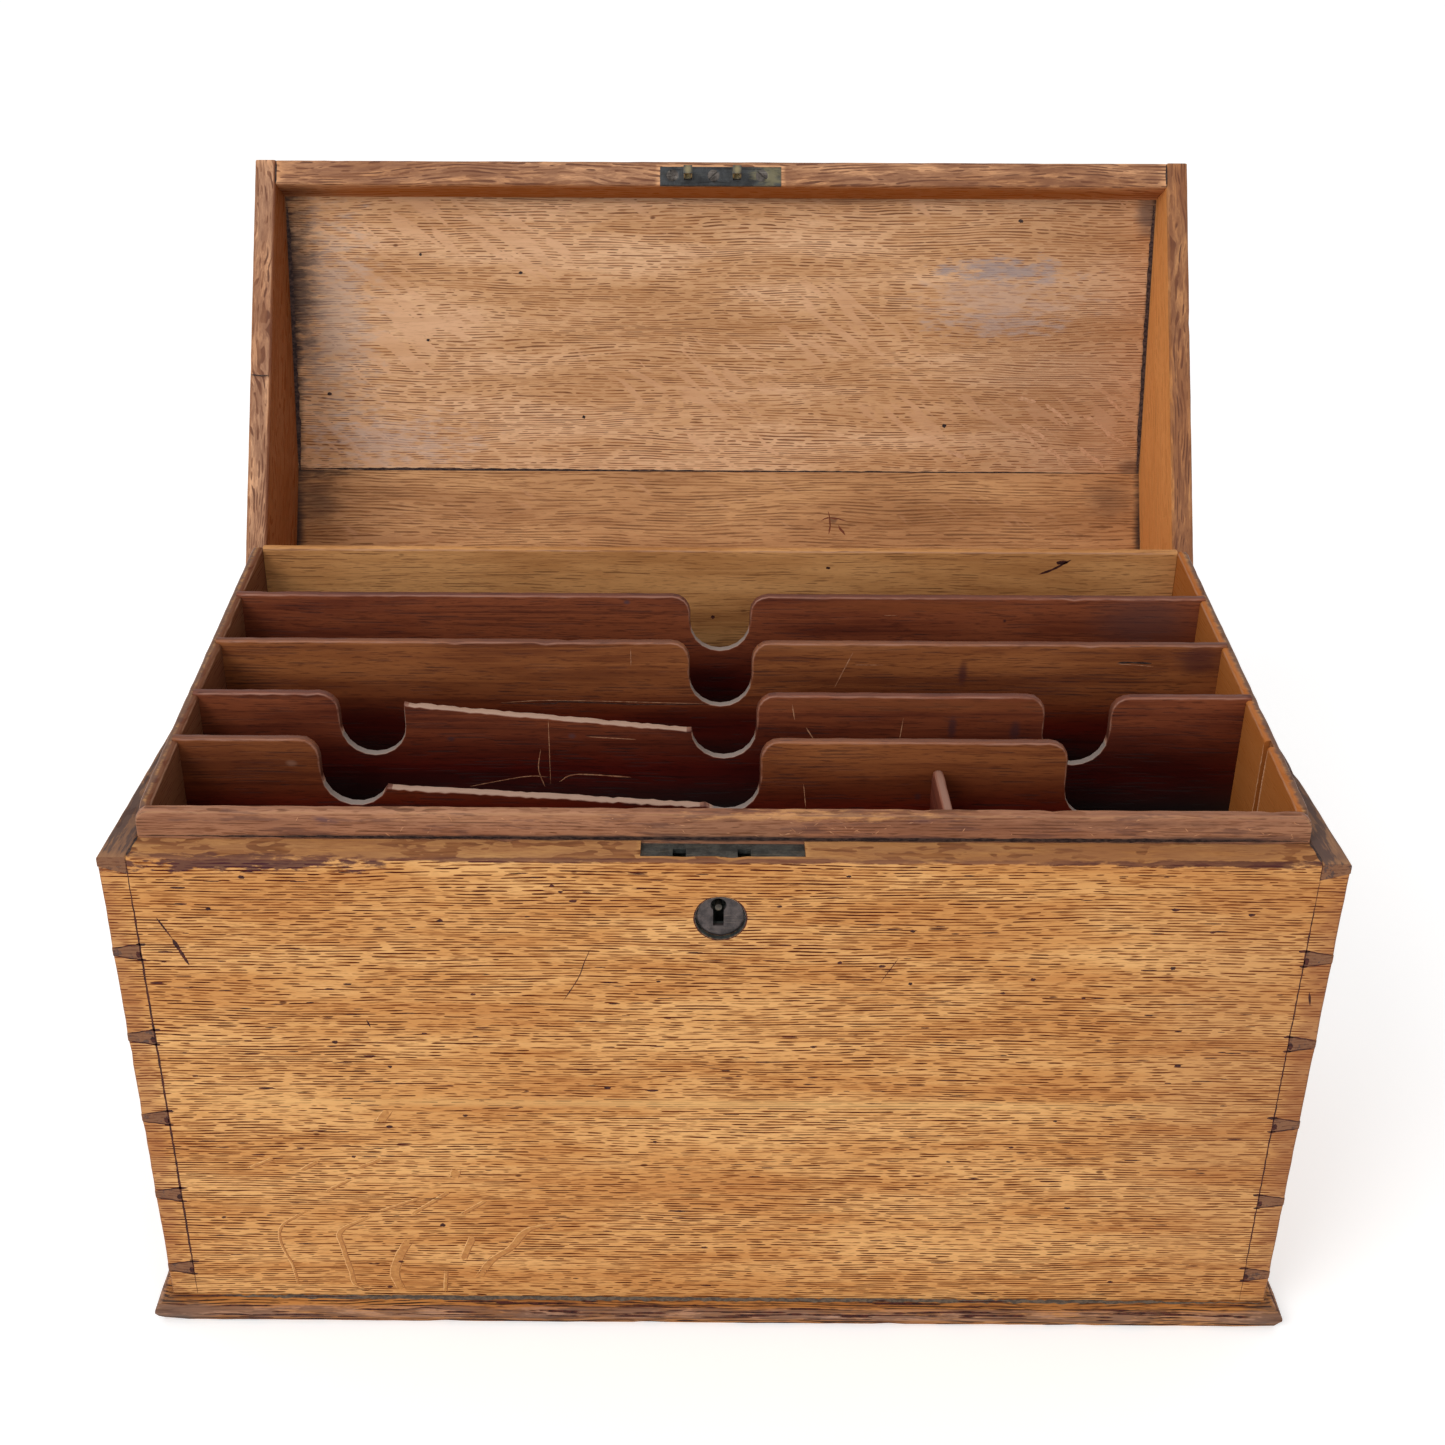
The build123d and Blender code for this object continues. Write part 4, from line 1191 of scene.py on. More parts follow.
def dress(
    piece: Piece,
    node: str,
    wood: Wood,
    grain: Grain,
    marks: Sequence[Mark] = (),
    shift: float = 0.0,
    across: Point3 = (0.0, 0.0, 1.0),
    body: str = "box",
) -> None:
    """Gives a board its finish and its place among the moving bodies.

    Args:
        piece: the board.
        node: the node of the frame that it stands for.
        wood: the wood that it is made of.
        grain: the way that its grain runs.
        marks: its stains and scratches.
        shift: how far its figure is moved along.
        across: the way that its rings follow one another, on the shut box.
        body: the body that it rides on.
    """
    piece.data.materials.clear()
    piece.data.materials.append(wood.material(piece.name, grain, body == "lid", marks, shift, across))
    even = piece.modifiers.new("even_normals", "WEIGHTED_NORMAL")
    even.keep_sharp = True
    even.weight = 100
    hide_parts(node)
    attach(piece, body)
    log.info("%s rides on %s and stands for %s", piece.name, body, node)


def dress_node(node: str, material: Material, bevel: float) -> None:
    """Gives a piece of the frame its finish and eases its edges.

    Args:
        node: the piece's name.
        material: its finish.
        bevel: the width of its eased edges in millimetres.
    """
    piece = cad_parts[node]
    piece.data.materials.clear()
    piece.data.materials.append(material)
    weld = piece.modifiers.new("weld", "WELD")
    weld.merge_threshold = 1e-6
    eased = piece.modifiers.new("eased_edges", "BEVEL")
    eased.width = bevel * MM
    eased.segments = 2
    eased.limit_method = "ANGLE"
    eased.angle_limit = math.radians(35)
    log.info("%s keeps its own shape", node)


def hinge_cuts(
    corner: Sequence[Point2], low: float, high: float, leaning: bool = False
) -> list[Piece]:
    """What is cut from the back for the bevel, both hinges' leaves and their knuckles.

    Args:
        corner: the section of the bevel, in depth and height.
        low: the lowest height of the leaves' seats.
        high: their highest.
        leaning: whether it belongs to the lid.

    Returns:
        The cutters.
    """
    tools = [prism(corner, -200, 200, 0, leaning)]
    for x in (-HINGE_X, HINGE_X):
        leaf, knuckles = HINGE_LENGTH / 2, HINGE_LENGTH / 2 + 0.3
        tools.append(block((x - leaf, LEAF_Y, low), (x + leaf, HINGE_Y, high), leaning))
        round_seat = ring((HINGE_Y, HINGE_Z), KNUCKLE_RADIUS, 24)
        tools.append(prism(round_seat, x - knuckles, x + knuckles, 0, leaning))
    return tools


# ------------------------------ studio
@dataclass
class Studio:
    """The camera, the floor and the lamps."""

    place: Point3 = (-0.006906, -0.523419, 0.473795)
    yaw: float = -0.280
    pitch: float = 25.350
    roll: float = 0.174
    lens: float = 42.04
    shift: Point2 = (0.01971, -0.07093)
    sky: float = 0.72
    floor_white: float = 0.88
    floor_glow: float = 0.38
    lamp_power: float = 24.0
    lamp_place: Point3 = (-1.5, -1.5, 1.8)
    lamp_size: float = 1.5

    def camera(self) -> None:
        """Sets up the camera."""
        yaw, pitch, roll = (math.radians(a) for a in (self.yaw, self.pitch, self.roll))
        flat = math.cos(pitch)
        ahead = Vector((math.sin(yaw) * flat, math.cos(yaw) * flat, -math.sin(pitch)))
        level = Vector((math.cos(yaw), -math.sin(yaw), 0))
        rise = level.cross(ahead)
        right = level * math.cos(roll) + rise * math.sin(roll)
        up = rise * math.cos(roll) - level * math.sin(roll)
        data = bpy.data.cameras.new("camera")
        data.lens, data.sensor_width = self.lens, 36.0
        data.sensor_fit = "HORIZONTAL"
        data.shift_x, data.shift_y = self.shift
        data.clip_start, data.clip_end = 0.01, 50.0
        camera = bpy.data.objects.new("camera", data)
        rows = [(right[n], up[n], -ahead[n], self.place[n]) for n in range(3)]
        camera.matrix_world = Matrix((*rows, (0, 0, 0, 1)))
        bpy.context.scene.collection.objects.link(camera)
        bpy.context.scene.camera = camera

    def background_rays(self, shader: Shader) -> Socket:
        """1 for rays from the camera, or seen in gloss or through glass, and 0 for light.

        Args:
            shader: the floor's material.

        Returns:
            The 1 or 0.
        """
        path = shader.node("LightPath")
        seen = shader.sum("MAXIMUM", path.outputs["Is Camera Ray"], path.outputs["Is Glossy Ray"])
        return shader.sum("MAXIMUM", seen, path.outputs["Is Transmission Ray"])

    def floor(self) -> None:
        """Lays the pale floor, which shows white but keeps the box's shadow."""
        mesh = bpy.data.meshes.new("floor")
        mesh.from_pydata([(-6, -6, 0), (6, -6, 0), (6, 6, 0), (-6, 6, 0)], [], [(0, 1, 2, 3)])
        floor = linked("floor", mesh)
        shader = Shader("pale_floor")
        glow = shader.times(self.background_rays(shader), self.floor_glow)
        white, pale = (1, 1, 1, 1), (*(self.floor_white,) * 3, 1)
        material = shader.finish(
            Base_Color=pale, Roughness=1.0, Emission_Color=white, Emission_Strength=glow
        )
        floor.data.materials.append(material)

    def lights(self) -> None:
        """Sets the soft sky and one wide lamp over the front."""
        world = bpy.data.worlds.new("sky")
        bpy.context.scene.world = world
        shader = Shader("sky", world)
        path = shader.node("LightPath").outputs
        seen = shader.sum("MAXIMUM", path["Is Camera Ray"], path["Is Transmission Ray"])
        glow = shader.node("MapRange", {"Value": seen, "To Min": self.sky, "To Max": 1.0}).outputs[0]
        sky = shader.node("Background", {"Color": (1, 1, 1, 1), "Strength": glow})
        shader.node("OutputWorld", {"Surface": sky.outputs[0]})
        data = bpy.data.lights.new("wide_lamp", "AREA")
        data.energy, data.size, data.shape = self.lamp_power, self.lamp_size, "DISK"
        lamp = bpy.data.objects.new("wide_lamp", data)
        lamp.location = self.lamp_place
        aim = Vector((0, 0, 0.12)) - lamp.location
        lamp.rotation_euler = aim.to_track_quat("-Z", "Y").to_euler()
        bpy.context.scene.collection.objects.link(lamp)

    def build(self) -> None:
        """Builds the whole studio."""
        self.camera()
        self.floor()
        self.lights()
        bpy.context.scene.view_settings.view_transform = "Standard"


# ------------------------------ carcass
@dataclass
class Joints:
    """The dovetails of the carcass or the lid: each pin's middle, wide and narrow heights."""

    inner: float
    outer: float
    pins: tuple[Point3, ...]

    def tail_end(self, side: int, low: float, high: float, edge: Edge) -> list[Corner]:
        """The outline of a tailed end, going up on the right side or down on the left.

        Args:
            side: 1 for the right end, -1 for the left.
            low: the board's lower edge.
            high: its upper edge.
            edge: the kind of edge at its outer end.

        Returns:
            The end's corners.
        """
        up: list[Corner] = []
        if not any(middle == low for middle, _, _ in self.pins):
            up.append((self.outer, low, edge))
        for middle, base, tip in self.pins:
            if middle > low:
                up.append((self.outer, middle - tip / 2, Edge.TIGHT))
                up.append((self.inner, middle - base / 2, Edge.TIGHT))
            if middle == low:
                up.append((self.inner, middle, Edge.TIGHT))
            if middle < high:
                up.append((self.inner, middle + base / 2, Edge.TIGHT))
                up.append((self.outer, middle + tip / 2, edge))
            else:
                up.append((self.inner, middle, Edge.TIGHT))
        if side > 0:
            return up
        mirrored = [(-u, v) for u, v, _ in up][::-1]
        kinds = [kind for _, _, kind in up[:-1]][::-1] + [Edge.TIGHT]
        return [(u, v, kind) for (u, v), kind in zip(mirrored, kinds)]


@dataclass
class Carcass:
    """The four oak walls, dovetailed at the corners, with the seats of the lock and hinges."""

    half_width: float = 190.5
    half_depth: float = 92.5
    foot: float = 8.0
    top: float = 189.0
    side_thickness: float = 9.0
    front_thickness: float = 11.7
    back_thickness: float = 9.0
    pins: tuple[float, ...] = (20.6, 53.9, 87.2, 120.5, 153.8)
    pin_base: float = 6.0
    pin_tip: float = 2.9
    half_pin_base: float = 6.0
    half_pin_tip: float = 3.4
    bevel_top: float = 188.85
    bevel_foot: float = 184.57
    bevel_low_y: float = 91.88
    bevel_high_y: float = 91.86
    dark_dashes: int = 280
    small_dents: int = 36
    nozzle: Point2 = (-0.6, 167.9)
    nozzle_margin: float = 12.0
    hole_radius: float = 7.95
    hole_line_radius: float = 8.15
    lining: tuple[Point2, ...] = ((7.92, 0.1), (7.92, 1.8), (7.82, 1.8), (7.82, 0.1))
    dent_share: Point2 = (0.8, 0.62)
    ray_share: float = 1.3

    def joints(self) -> Joints:
        """The dovetails at the corners.

        Returns:
            The joints.
        """
        pins = [(z, self.pin_base, self.pin_tip) for z in self.pins]
        pins.append((self.top, 2 * self.half_pin_base, 2 * self.half_pin_tip))
        return Joints(self.half_width - self.side_thickness, self.half_width, tuple(pins))

    def tailed(self, edge: Edge, crest: Edge) -> list[Corner]:
        """The outline of the front or back wall, from the foot round to the right.

        Args:
            edge: the kind of edge at its ends.
            crest: the kind of edge along its top.

        Returns:
            The outline.
        """
        joints = self.joints()
        right = joints.tail_end(1, self.foot, self.top, edge)
        left = joints.tail_end(-1, self.foot, self.top, edge)
        end_with(right, crest)
        end_with(left, Edge.SOFT)
        return [*right, *left]

    def lining_section(self, angle: float) -> np.ndarray:
        """One section of the thin metal lining of the lock's hole.

        Args:
            angle: the section's angle round the hole.

        Returns:
            Its corners: across, up and into the wall.
        """
        x, z = self.nozzle
        across, up = math.cos(angle), math.sin(angle)
        return np.array([(x + r * across, z + r * up, depth) for r, depth in self.lining])

    def front(self) -> None:
        """Builds the front wall."""
        seat = standing(-self.half_depth)
        wall = BoardMaker(11).make(
            "front_board", self.tailed(Edge.WORN, Edge.WORN), self.front_thickness, seat
        )
        inside = -self.half_depth + self.front_thickness
        cut(
            wall,
            block((-25.25, -90.0, 185.9), (25.25, inside + 1, 190.0)),
            block((-22.5, -90.0, 153.5), (22.5, inside + 1, 186.0)),
            block((-29.0, inside - 1.0, 153.5), (29.0, inside + 1, 185.9)),
            prism(ring(self.nozzle, self.hole_radius), -94.0, -89.0, 1),
        )
        dress(wall, "front_wall", WOODS["front"], Grain.ACROSS, FRONT_MARKS)
        self.front_dents()
        self.lock_lining()
        self.front_rays()
        gaps = Tracer(lying(self.top), 87)
        for sign in (-1, 1):
            places = [(sign * 181.4, -91.6), (sign * 181.5, -86), (sign * 181.3, -80.8)]
            gaps.line(places, 0.4, sway=0.2)
        gaps.finish("corner_gaps", DARK_LINE, "oak_front")

    def front_dents(self) -> None:
        """Lays dents, scratches and the dark lines of the joints on the front."""
        dents = Tracer(standing(-self.half_depth), 81)
        for u, v, half_length, half_height in FRONT_PITS:
            dents.dent(u, v, self.dent_share[0] * half_length, self.dent_share[1] * half_height)
        for points, half_width in FRONT_SCRATCHES:
            dents.line(points, half_width)
        for sign in (-1, 1):
            ends = [(sign * 181.6, 8.5), (sign * 181.5, 98), (sign * 181.6, 188.2)]
            dents.line(ends, 0.26 - 0.06 * sign, sway=0.2)
            for z in self.pins:
                dents.dent(sign * 181.2, z + 2.9, 2.0, 0.6)
                dents.dent(sign * 181.6, z - 2.9, 1.5, 0.5)
                dents.dent(sign * 182.3, z - 1.0, 0.9, 1.4)
                for rise in (-1, 1):
                    slant = [(sign * 181.6, z + rise * 3.0), (sign * 190.2, z + rise * 1.45)]
                    dents.line(slant, 0.24, sway=0.25)
        (x, z), r = self.nozzle, self.hole_line_radius
        dents.line([(x + r * math.cos(a), z + r * math.sin(a)) for a in np.linspace(-4.6, 1.5, 24)], 0.2)
        rng = np.random.default_rng(88)
        for _ in range(self.dark_dashes):
            u, v = rng.uniform(-178, 178), float(np.clip(rng.normal(105, 52), 11, 184))
            if math.dist((u, v), self.nozzle) > self.nozzle_margin:
                dents.dent(u, v, rng.uniform(0.9, 3.6), rng.uniform(0.12, 0.26))
        for _ in range(self.small_dents):
            u, v = rng.uniform(-175, 175), rng.uniform(12, 184)
            if math.dist((u, v), self.nozzle) > self.nozzle_margin:
                dents.dent(u, v, rng.uniform(0.7, 1.3), rng.uniform(0.35, 0.65))
        dents.finish("front_dents", DIRT, "oak_front")

    def lock_lining(self) -> None:
        """Lines the lock's hole with thin metal."""
        lining = Tracer(standing(-self.half_depth), 90)
        first, last = math.radians(91), math.radians(449)
        lining.add([self.lining_section(a) for a in np.linspace(first, last, 60)])
        lining.finish("lock_hole_lining", DULL_BRASS, "old_brass")

    def front_rays(self) -> None:
        """Lays smooth rays on the front, each with a shaded edge and a lit edge."""
        seat = standing(-self.half_depth)
        rays, shaded, lit = Tracer(seat, 82, 0.02), Tracer(seat, 84, 0.03), Tracer(seat, 86, 0.03)
        for points, half_width in FRONT_FLECKS:
            width = self.ray_share * half_width
            rays.line(points, width, sway=0.2)
            shaded.line([(u + width, v - 0.2) for u, v in points], 0.17, sway=0.2)
            lit.line([(u - width, v + 0.2) for u, v in points], 0.14, sway=0.2)
        rays.finish("front_rays", SMOOTH_RAY, "oak_front")
        shaded.finish("front_rays_shaded", RAY_SHADE, "oak_front")
        lit.finish("front_rays_lit", RAY_LIGHT, "oak_front")

    def back(self) -> None:
        """Builds the back wall."""
        start = self.half_depth - self.back_thickness
        seat = standing(start)
        wall = BoardMaker(12).make(
            "back_board", self.tailed(Edge.WORN, Edge.SOFT), self.back_thickness, seat
        )
        corner = (
            (HINGE_Y, 190.5), (HINGE_Y, self.bevel_top),
            (self.half_depth + 1, self.bevel_foot - 1.71), (self.half_depth + 1, 190.5),
        )
        cut(wall, *hinge_cuts(corner, 187.7, 190.0))
        dress(wall, "back_wall", WOODS["carcass"], Grain.ACROSS, shift=3.0)

    def side(self, which: Side) -> None:
        """Builds a side wall, whose pins pass between the tails.

        Args:
            which: the side that it stands on.
        """
        side = which.value
        front = -self.half_depth + self.front_thickness
        back = self.half_depth - self.back_thickness
        depth, low, narrow = self.half_depth, self.top - self.half_pin_base, self.top - self.half_pin_tip
        outline = SideOutline()
        outline.add(front, self.foot, Edge.SOFT)
        outline.add(back, self.foot, Edge.TIGHT)
        for z in self.pins:
            outline.pin(back, depth, z, self.pin_base, self.pin_tip, 1)
        outline.add(back, low, Edge.TIGHT, (back, narrow))
        outline.add(depth, low, Edge.TIGHT, (self.bevel_low_y, narrow))
        outline.add(depth, self.bevel_foot, Edge.TIGHT, (self.bevel_high_y, narrow + 0.04))
        outline.add(HINGE_Y, self.bevel_top, Edge.TIGHT)
        outline.add(HINGE_Y, self.top, Edge.WORN)
        outline.add(-depth, self.top, Edge.TIGHT)
        outline.add(-depth, low, Edge.TIGHT, (-depth, narrow))
        outline.add(front, low, Edge.TIGHT, (front, narrow))
        for z in self.pins[::-1]:
            outline.pin(front, -depth, z, self.pin_base, self.pin_tip, -1)
        inner = self.half_width - self.side_thickness
        seat = side_on(side * inner, side)
        maker, name = BoardMaker(13 + side), f"{which.word}_board"
        wall = maker.make(name, outline.near, self.side_thickness, seat, outline.far)
        dress(wall, f"{which.word}_wall", WOODS["carcass"], Grain.DEEP, shift=5.0 + side)

    def build(self) -> None:
        """Builds all four walls."""
        self.front()
        self.back()
        self.side(Side.LEFT)
        self.side(Side.RIGHT)


FRONT_Y = -92.5

# The larger dark dents on the front: place across, height, half length and half height. The
# carcass's dent_share makes both halves smaller.
FRONT_PITS = (
    (-148, 100, 4.0, 0.7), (-118, 142, 2.0, 0.6), (-124, 140, 2.0, 0.6), (-124, 119, 1.3, 1.2),
    (-109, 84, 1.4, 1.3), (-147, 182, 1.5, 1.1), (-94, 41, 1.4, 1.4), (-45, 128, 2.6, 0.5),
    (-34, 135, 2.6, 0.5), (-22, 100, 3.0, 0.8), (-14, 48, 4.4, 0.7), (14, 112, 4.0, 0.5),
    (139, 172, 1.8, 0.9), (141, 150, 1.3, 1.1), (-178, 142, 3.0, 0.6), (-174, 154, 3.0, 0.6),
    (-167, 172, 3.0, 0.6), (-167, 178, 3.0, 0.7),
)

# Smooth rays on the left of the front, as lines of points with a half width. The carcass's
# ray_share makes it wider.
FRONT_FLECKS = (
    (((-101, 53), (-115, 47)), 0.55),
    (((-118, 45), (-129, 38), (-129, 31), (-127, 19), (-126, 13), (-120, 10)), 0.65),
    (((-106, 34), (-110, 26), (-112, 18), (-110, 11)), 1.2), (((-84, 36), (-88, 25)), 0.9),
    (((-94, 20), (-95, 10)), 0.45), (((-55, 42), (-65, 39), (-71, 31), (-78, 25), (-83, 17)), 1.0),
    (((-140, 47), (-149, 40), (-150, 32), (-147, 22), (-146, 13)), 0.35),
    (((-88, 66), (-89, 62)), 1.2), (((-91, 56), (-96, 52), (-104, 46)), 0.6),
    (((-109, 91), (-112, 86)), 1.2), (((-149, 70), (-157, 66)), 0.65),
    (((-134, 69), (-140, 65)), 0.65), (((-113, 70), (-121, 66)), 0.65),
    (((-124, 61), (-132, 56)), 0.45), (((-79, 52), (-87, 46)), 0.55),
)

# Scratches on the front, as lines of points with a half width.
FRONT_SCRATCHES = (
    (((-175, 167), (-171, 159)), 0.25), (((-171, 159), (-167, 149)), 0.55),
    (((-41, 156), (-43, 151), (-45, 145), (-50, 136)), 0.14), (((55, 153), (50, 144)), 0.1),
    (((-113, 128), (-112, 125)), 0.35), (((185, 141), (186, 136)), 0.3),
)

# Stains and light places on the front, and the dark line under its top.
FRONT_MARKS = (
    Mark((0, FRONT_Y, 94.5), (250, 6, 2.8), (240, 190, 124), 0.55, 0.9),
    Mark((0, FRONT_Y, 37.9), (178, 6, 0.45), (232, 176, 106), 0.6, 0.8),
    Mark((-190, FRONT_Y, 98), (8.5, 6, 130), (150, 88, 58), 0.4, 0.6, 0.3),
    Mark((190, FRONT_Y, 98), (11, 6, 130), (134, 78, 56), 0.55, 0.7, 0.3),
    Mark((168, FRONT_Y, 98), (60, 6, 140), (160, 98, 58), 0.4, 1.0),
    Mark((-150, FRONT_Y, 187.6), (46, 3.2, 3.6), (70, 38, 48), 0.85, 0.35, 0.9),
    Mark((0, FRONT_Y, 189.0), (200, 1.6, 1.3), (84, 46, 46), 0.85, 0.5, 0.5),
    Mark((150, FRONT_Y, 189.0), (46, 2.2, 1.9), (66, 30, 36), 0.85, 0.4, 0.7),
)


# ------------------------------ base board
BASE_MARKS = (
    Mark((-188, -96, 4), (18, 9, 6), (84, 70, 64), 0.85, 0.9, 0.4),
    Mark((-60, -98, 4.6), (12, 3, 2.0), (66, 40, 34), 0.75, 0.8, 0.6),
    # A pale band on the arris: painted highlight and wear.
    Mark((40, -98, 5.0), (40, 3, 1.2), (206, 172, 156), 0.5, 0.9, 0.6),
    Mark((130, -98, 3.0), (30, 3, 1.6), (70, 42, 34), 0.6, 0.8, 0.6),
    Mark((190, -96, 4), (14, 9, 6), (92, 72, 64), 0.8, 0.9, 0.4),
)


@dataclass
class BaseBoard:
    """The moulded board that the carcass stands on."""

    half_width: float = 190.5
    half_depth: float = 92.5
    section: tuple[Point2, ...] = (
        (0.0, 3.5), (0.25, 3.95), (2.2, 4.75), (4.2, 5.6), (5.3, 5.55), (6.0, 5.15), (6.55, 4.3),
        (6.95, 3.1), (8.0, 0.0),
    )
    spacing: float = 6.0
    streak_count: int = 340
    streak_lift: float = 0.07

    def build(self) -> None:
        """Builds the board as rings round its edge, each with its own wear."""
        rng = np.random.default_rng(31)
        corners = [(1, -1), (1, 1), (-1, 1), (-1, -1)]
        outline, normals = [], []
        for n, (sx, sy) in enumerate(corners):
            tx, ty = corners[(n + 1) % 4]
            start = np.array((sx * self.half_width, sy * self.half_depth))
            end = np.array((tx * self.half_width, ty * self.half_depth))
            count = round(float(np.linalg.norm(end - start)) / self.spacing)
            for k in range(count):
                outline.append(start + (end - start) * k / count)
                normals.append((sx, sy) if k == 0 else ((sx + tx) / 2, (sy + ty) / 2))
        outline, normals = np.array(outline), np.array(normals, float)
        at_corner = np.all(np.abs(normals) == 1, axis=1)
        gaps = np.linalg.norm(np.roll(outline, -1, 0) - outline, axis=1)
        lengths = np.concatenate(([0.0], np.cumsum(gaps)[:-1]))
        loops, wear = [], []
        for height, reach in self.section:
            dent = 0.35 * wander(lengths, rng, (140.0, 61.0, 23.0, 13.0)) * min(1.0, reach / 4)
            dent += (rng.random(len(lengths)) < 0.05) * rng.uniform(0.2, 0.8) * min(1.0, reach / 4)
            dent[at_corner] += 0.3 * min(1.0, reach / 4)
            flat = outline + normals * (reach - dent)[:, None]
            lift = 0.18 * wander(lengths, rng, (90.0, 35.0)) if height < 0.1 else np.zeros(len(lengths))
            loops.append(np.column_stack((flat, height + lift)) * MM)
            # The moulding's rounded top is marked worn, which paints it pale: a worn arris with a painted
            # highlight.
            wear.append(np.full(len(lengths), 0.9 if 4 < height < 6.6 else 0.2))
        board = linked("base_moulding", BoardMaker(32).skin("base_moulding", loops, wear))
        dress(board, "base_board", WOODS["base"], Grain.ACROSS, BASE_MARKS, 9.0, (0, 1, 1))
        up, through = (0, -0.947, -0.321), (0, -0.321, 0.947)
        dirt = Tracer(Seat((0, -self.half_depth, 8.0), (1, 0, 0), up, through), 33)
        dirt.line([(x, 0.55) for x in (-189, -120, -40, 40, 120, 189)], 0.75, 0.55, 0.5)
        dirt.finish("base_dirt", BASE_DIRT, "oak_base")
        self.streaks(loops, np.flatnonzero(at_corner), rng)

    def streaks(self, loops: Sequence[np.ndarray], corners: np.ndarray, rng: np.random.Generator) -> None:
        """Lays dark streaks of dirt along the moulding, on its own faces.

        Args:
            loops: the rings of points round the board, in metres.
            corners: the places of the corners in each ring.
            rng: the source of the streaks' places.
        """
        tracer = Tracer(lying(0), 34)
        count = len(loops[0])
        for _ in range(self.streak_count):
            level, share = int(rng.integers(1, len(loops) - 1)), rng.uniform(0.1, 0.9)
            start, run = int(rng.integers(0, count)), int(rng.integers(1, 5))
            width = rng.uniform(0.1, 0.26)
            steps = np.arange(3 * run + 1) / 3
            if any(start < corner < start + run for corner in (*corners, count)):
                continue
            lower, upper = loops[level], loops[level + 1]
            along = lower[(start + 1) % count] - lower[start]
            sections = []
            for step in steps:
                first, part = start + int(step), step - int(step)
                low, high = (
                    (1 - part) * ring[first % count] + part * ring[(first + 1) % count]
                    for ring in (lower, upper)
                )
                way = (high - low) / np.linalg.norm(high - low)
                out = np.cross(along, way)
                out *= self.streak_lift / np.linalg.norm(out)
                taper = 0.15 + min(1.0, 3 * min(step, run - step))
                half = way * width * taper * rng.uniform(0.7, 1.2)
                middle = ((1 - share) * low + share * high) / MM
                signs = ((-1, -1), (1, -1), (1, 1), (-1, 1))
                sections.append(np.array([middle + a * half + b * out for a, b in signs]))
            tracer.add(sections)
        tracer.finish("base_streaks", DIRT, "oak_base")


# ------------------------------ fitted inside
SMOKY = (78, 48, 50)

# The first mark and the last are dark along the lip's foot: painted shade where it leaves the wall.
LIP_MARKS = (
    Mark((0, -80.8, 189.3), (200, 3, 1.4), (56, 46, 46), 0.85, 0.7, 0.3),
    Mark((-123, -80.8, 195.5), (7, 3, 1.5), (92, 66, 76), 0.7, 0.7, 0.5, turn=8),
    Mark((30, -79.5, 197.2), (50, 4, 1.5), (218, 158, 100), 0.75, 0.8, 0.8),
    Mark((62, -79, 196.4), (10, 4, 1.4), (104, 70, 72), 0.6, 0.8, 0.5),
    Mark((-60, -79.5, 196.6), (120, 4, 2.0), (190, 136, 98), 0.5, 0.9, 0.6),
    Mark((130, -80.8, 195.5), (60, 3, 2.2), (112, 74, 56), 0.5, 0.9, 0.5),
    Mark((150, -80.8, 189.9), (40, 3, 1.6), (50, 46, 50), 0.8, 0.8, 0.3),
)

# Stains on each divider: place across, height, reaches, colour and strength.
DIVIDER_MARKS = {
    1: ((-141.3, 193.9, 2.6, 1.6, (168, 130, 108), 0.5), (64.9, 182.3, 1.6, 2.0, (96, 84, 96), 0.6)),
    2: (
        (-89.6, 173.6, 2.0, 1.4, (70, 62, 72), 0.6), (-51.1, 190.2, 2.0, 1.6, (104, 88, 96), 0.6),
        (-92.7, 188.8, 2.0, 1.4, (70, 62, 72), 0.6), (78.8, 194.0, 2.2, 6.5, SMOKY, 0.75),
        (100.3, 193.2, 2.6, 5.5, SMOKY, 0.75), (60, 203, 110, 4, (150, 88, 48), 0.35),
    ),
    3: (
        (86.5, 198.6, 2.4, 7.0, (76, 34, 34), 0.75), (170, 204, 12, 8, (74, 36, 36), 0.7),
        (40, 209, 60, 3, (150, 96, 60), 0.3),
    ),
    4: (
        (105.9, 205.0, 0.9, 0.9, (40, 20, 30), 0.8), (158, 205, 27, 15, (90, 58, 54), 0.6),
        (-34.6, 211.9, 1.8, 1.2, (70, 60, 72), 0.7), (70, 211, 60, 4, (150, 82, 42), 0.45),
    ),
}

# Scratches on each divider, as lines of points with a half width.
DIVIDER_SCRATCHES = {
    1: ((((27, 187), (28, 178)), 0.12),),
    2: (
        (((-62, 185), (-63, 177), (-61, 170)), 0.15), (((-87, 170), (-68, 174), (-60, 174)), 0.14),
        (((-56, 172), (-50, 175), (-31, 174)), 0.2), (((-59, 197), (-59, 171)), 0.12),
        (((-46, 190), (-29, 189)), 0.13), (((24, 203), (25, 197)), 0.17),
        (((29, 194), (32, 189)), 0.15), (((62, 198), (61, 188)), 0.13),
    ),
    3: (
        (((47, 207), (41, 193)), 0.16), (((-32, 208), (-32, 201)), 0.13),
        (((48, 202), (58, 202)), 0.12), (((-6, 186), (-58, 187), (-79, 186)), 0.14),
        (((141, 203), (154, 202)), 0.16),
    ),
    4: ((((61, 207), (66, 207)), 0.1),),
}


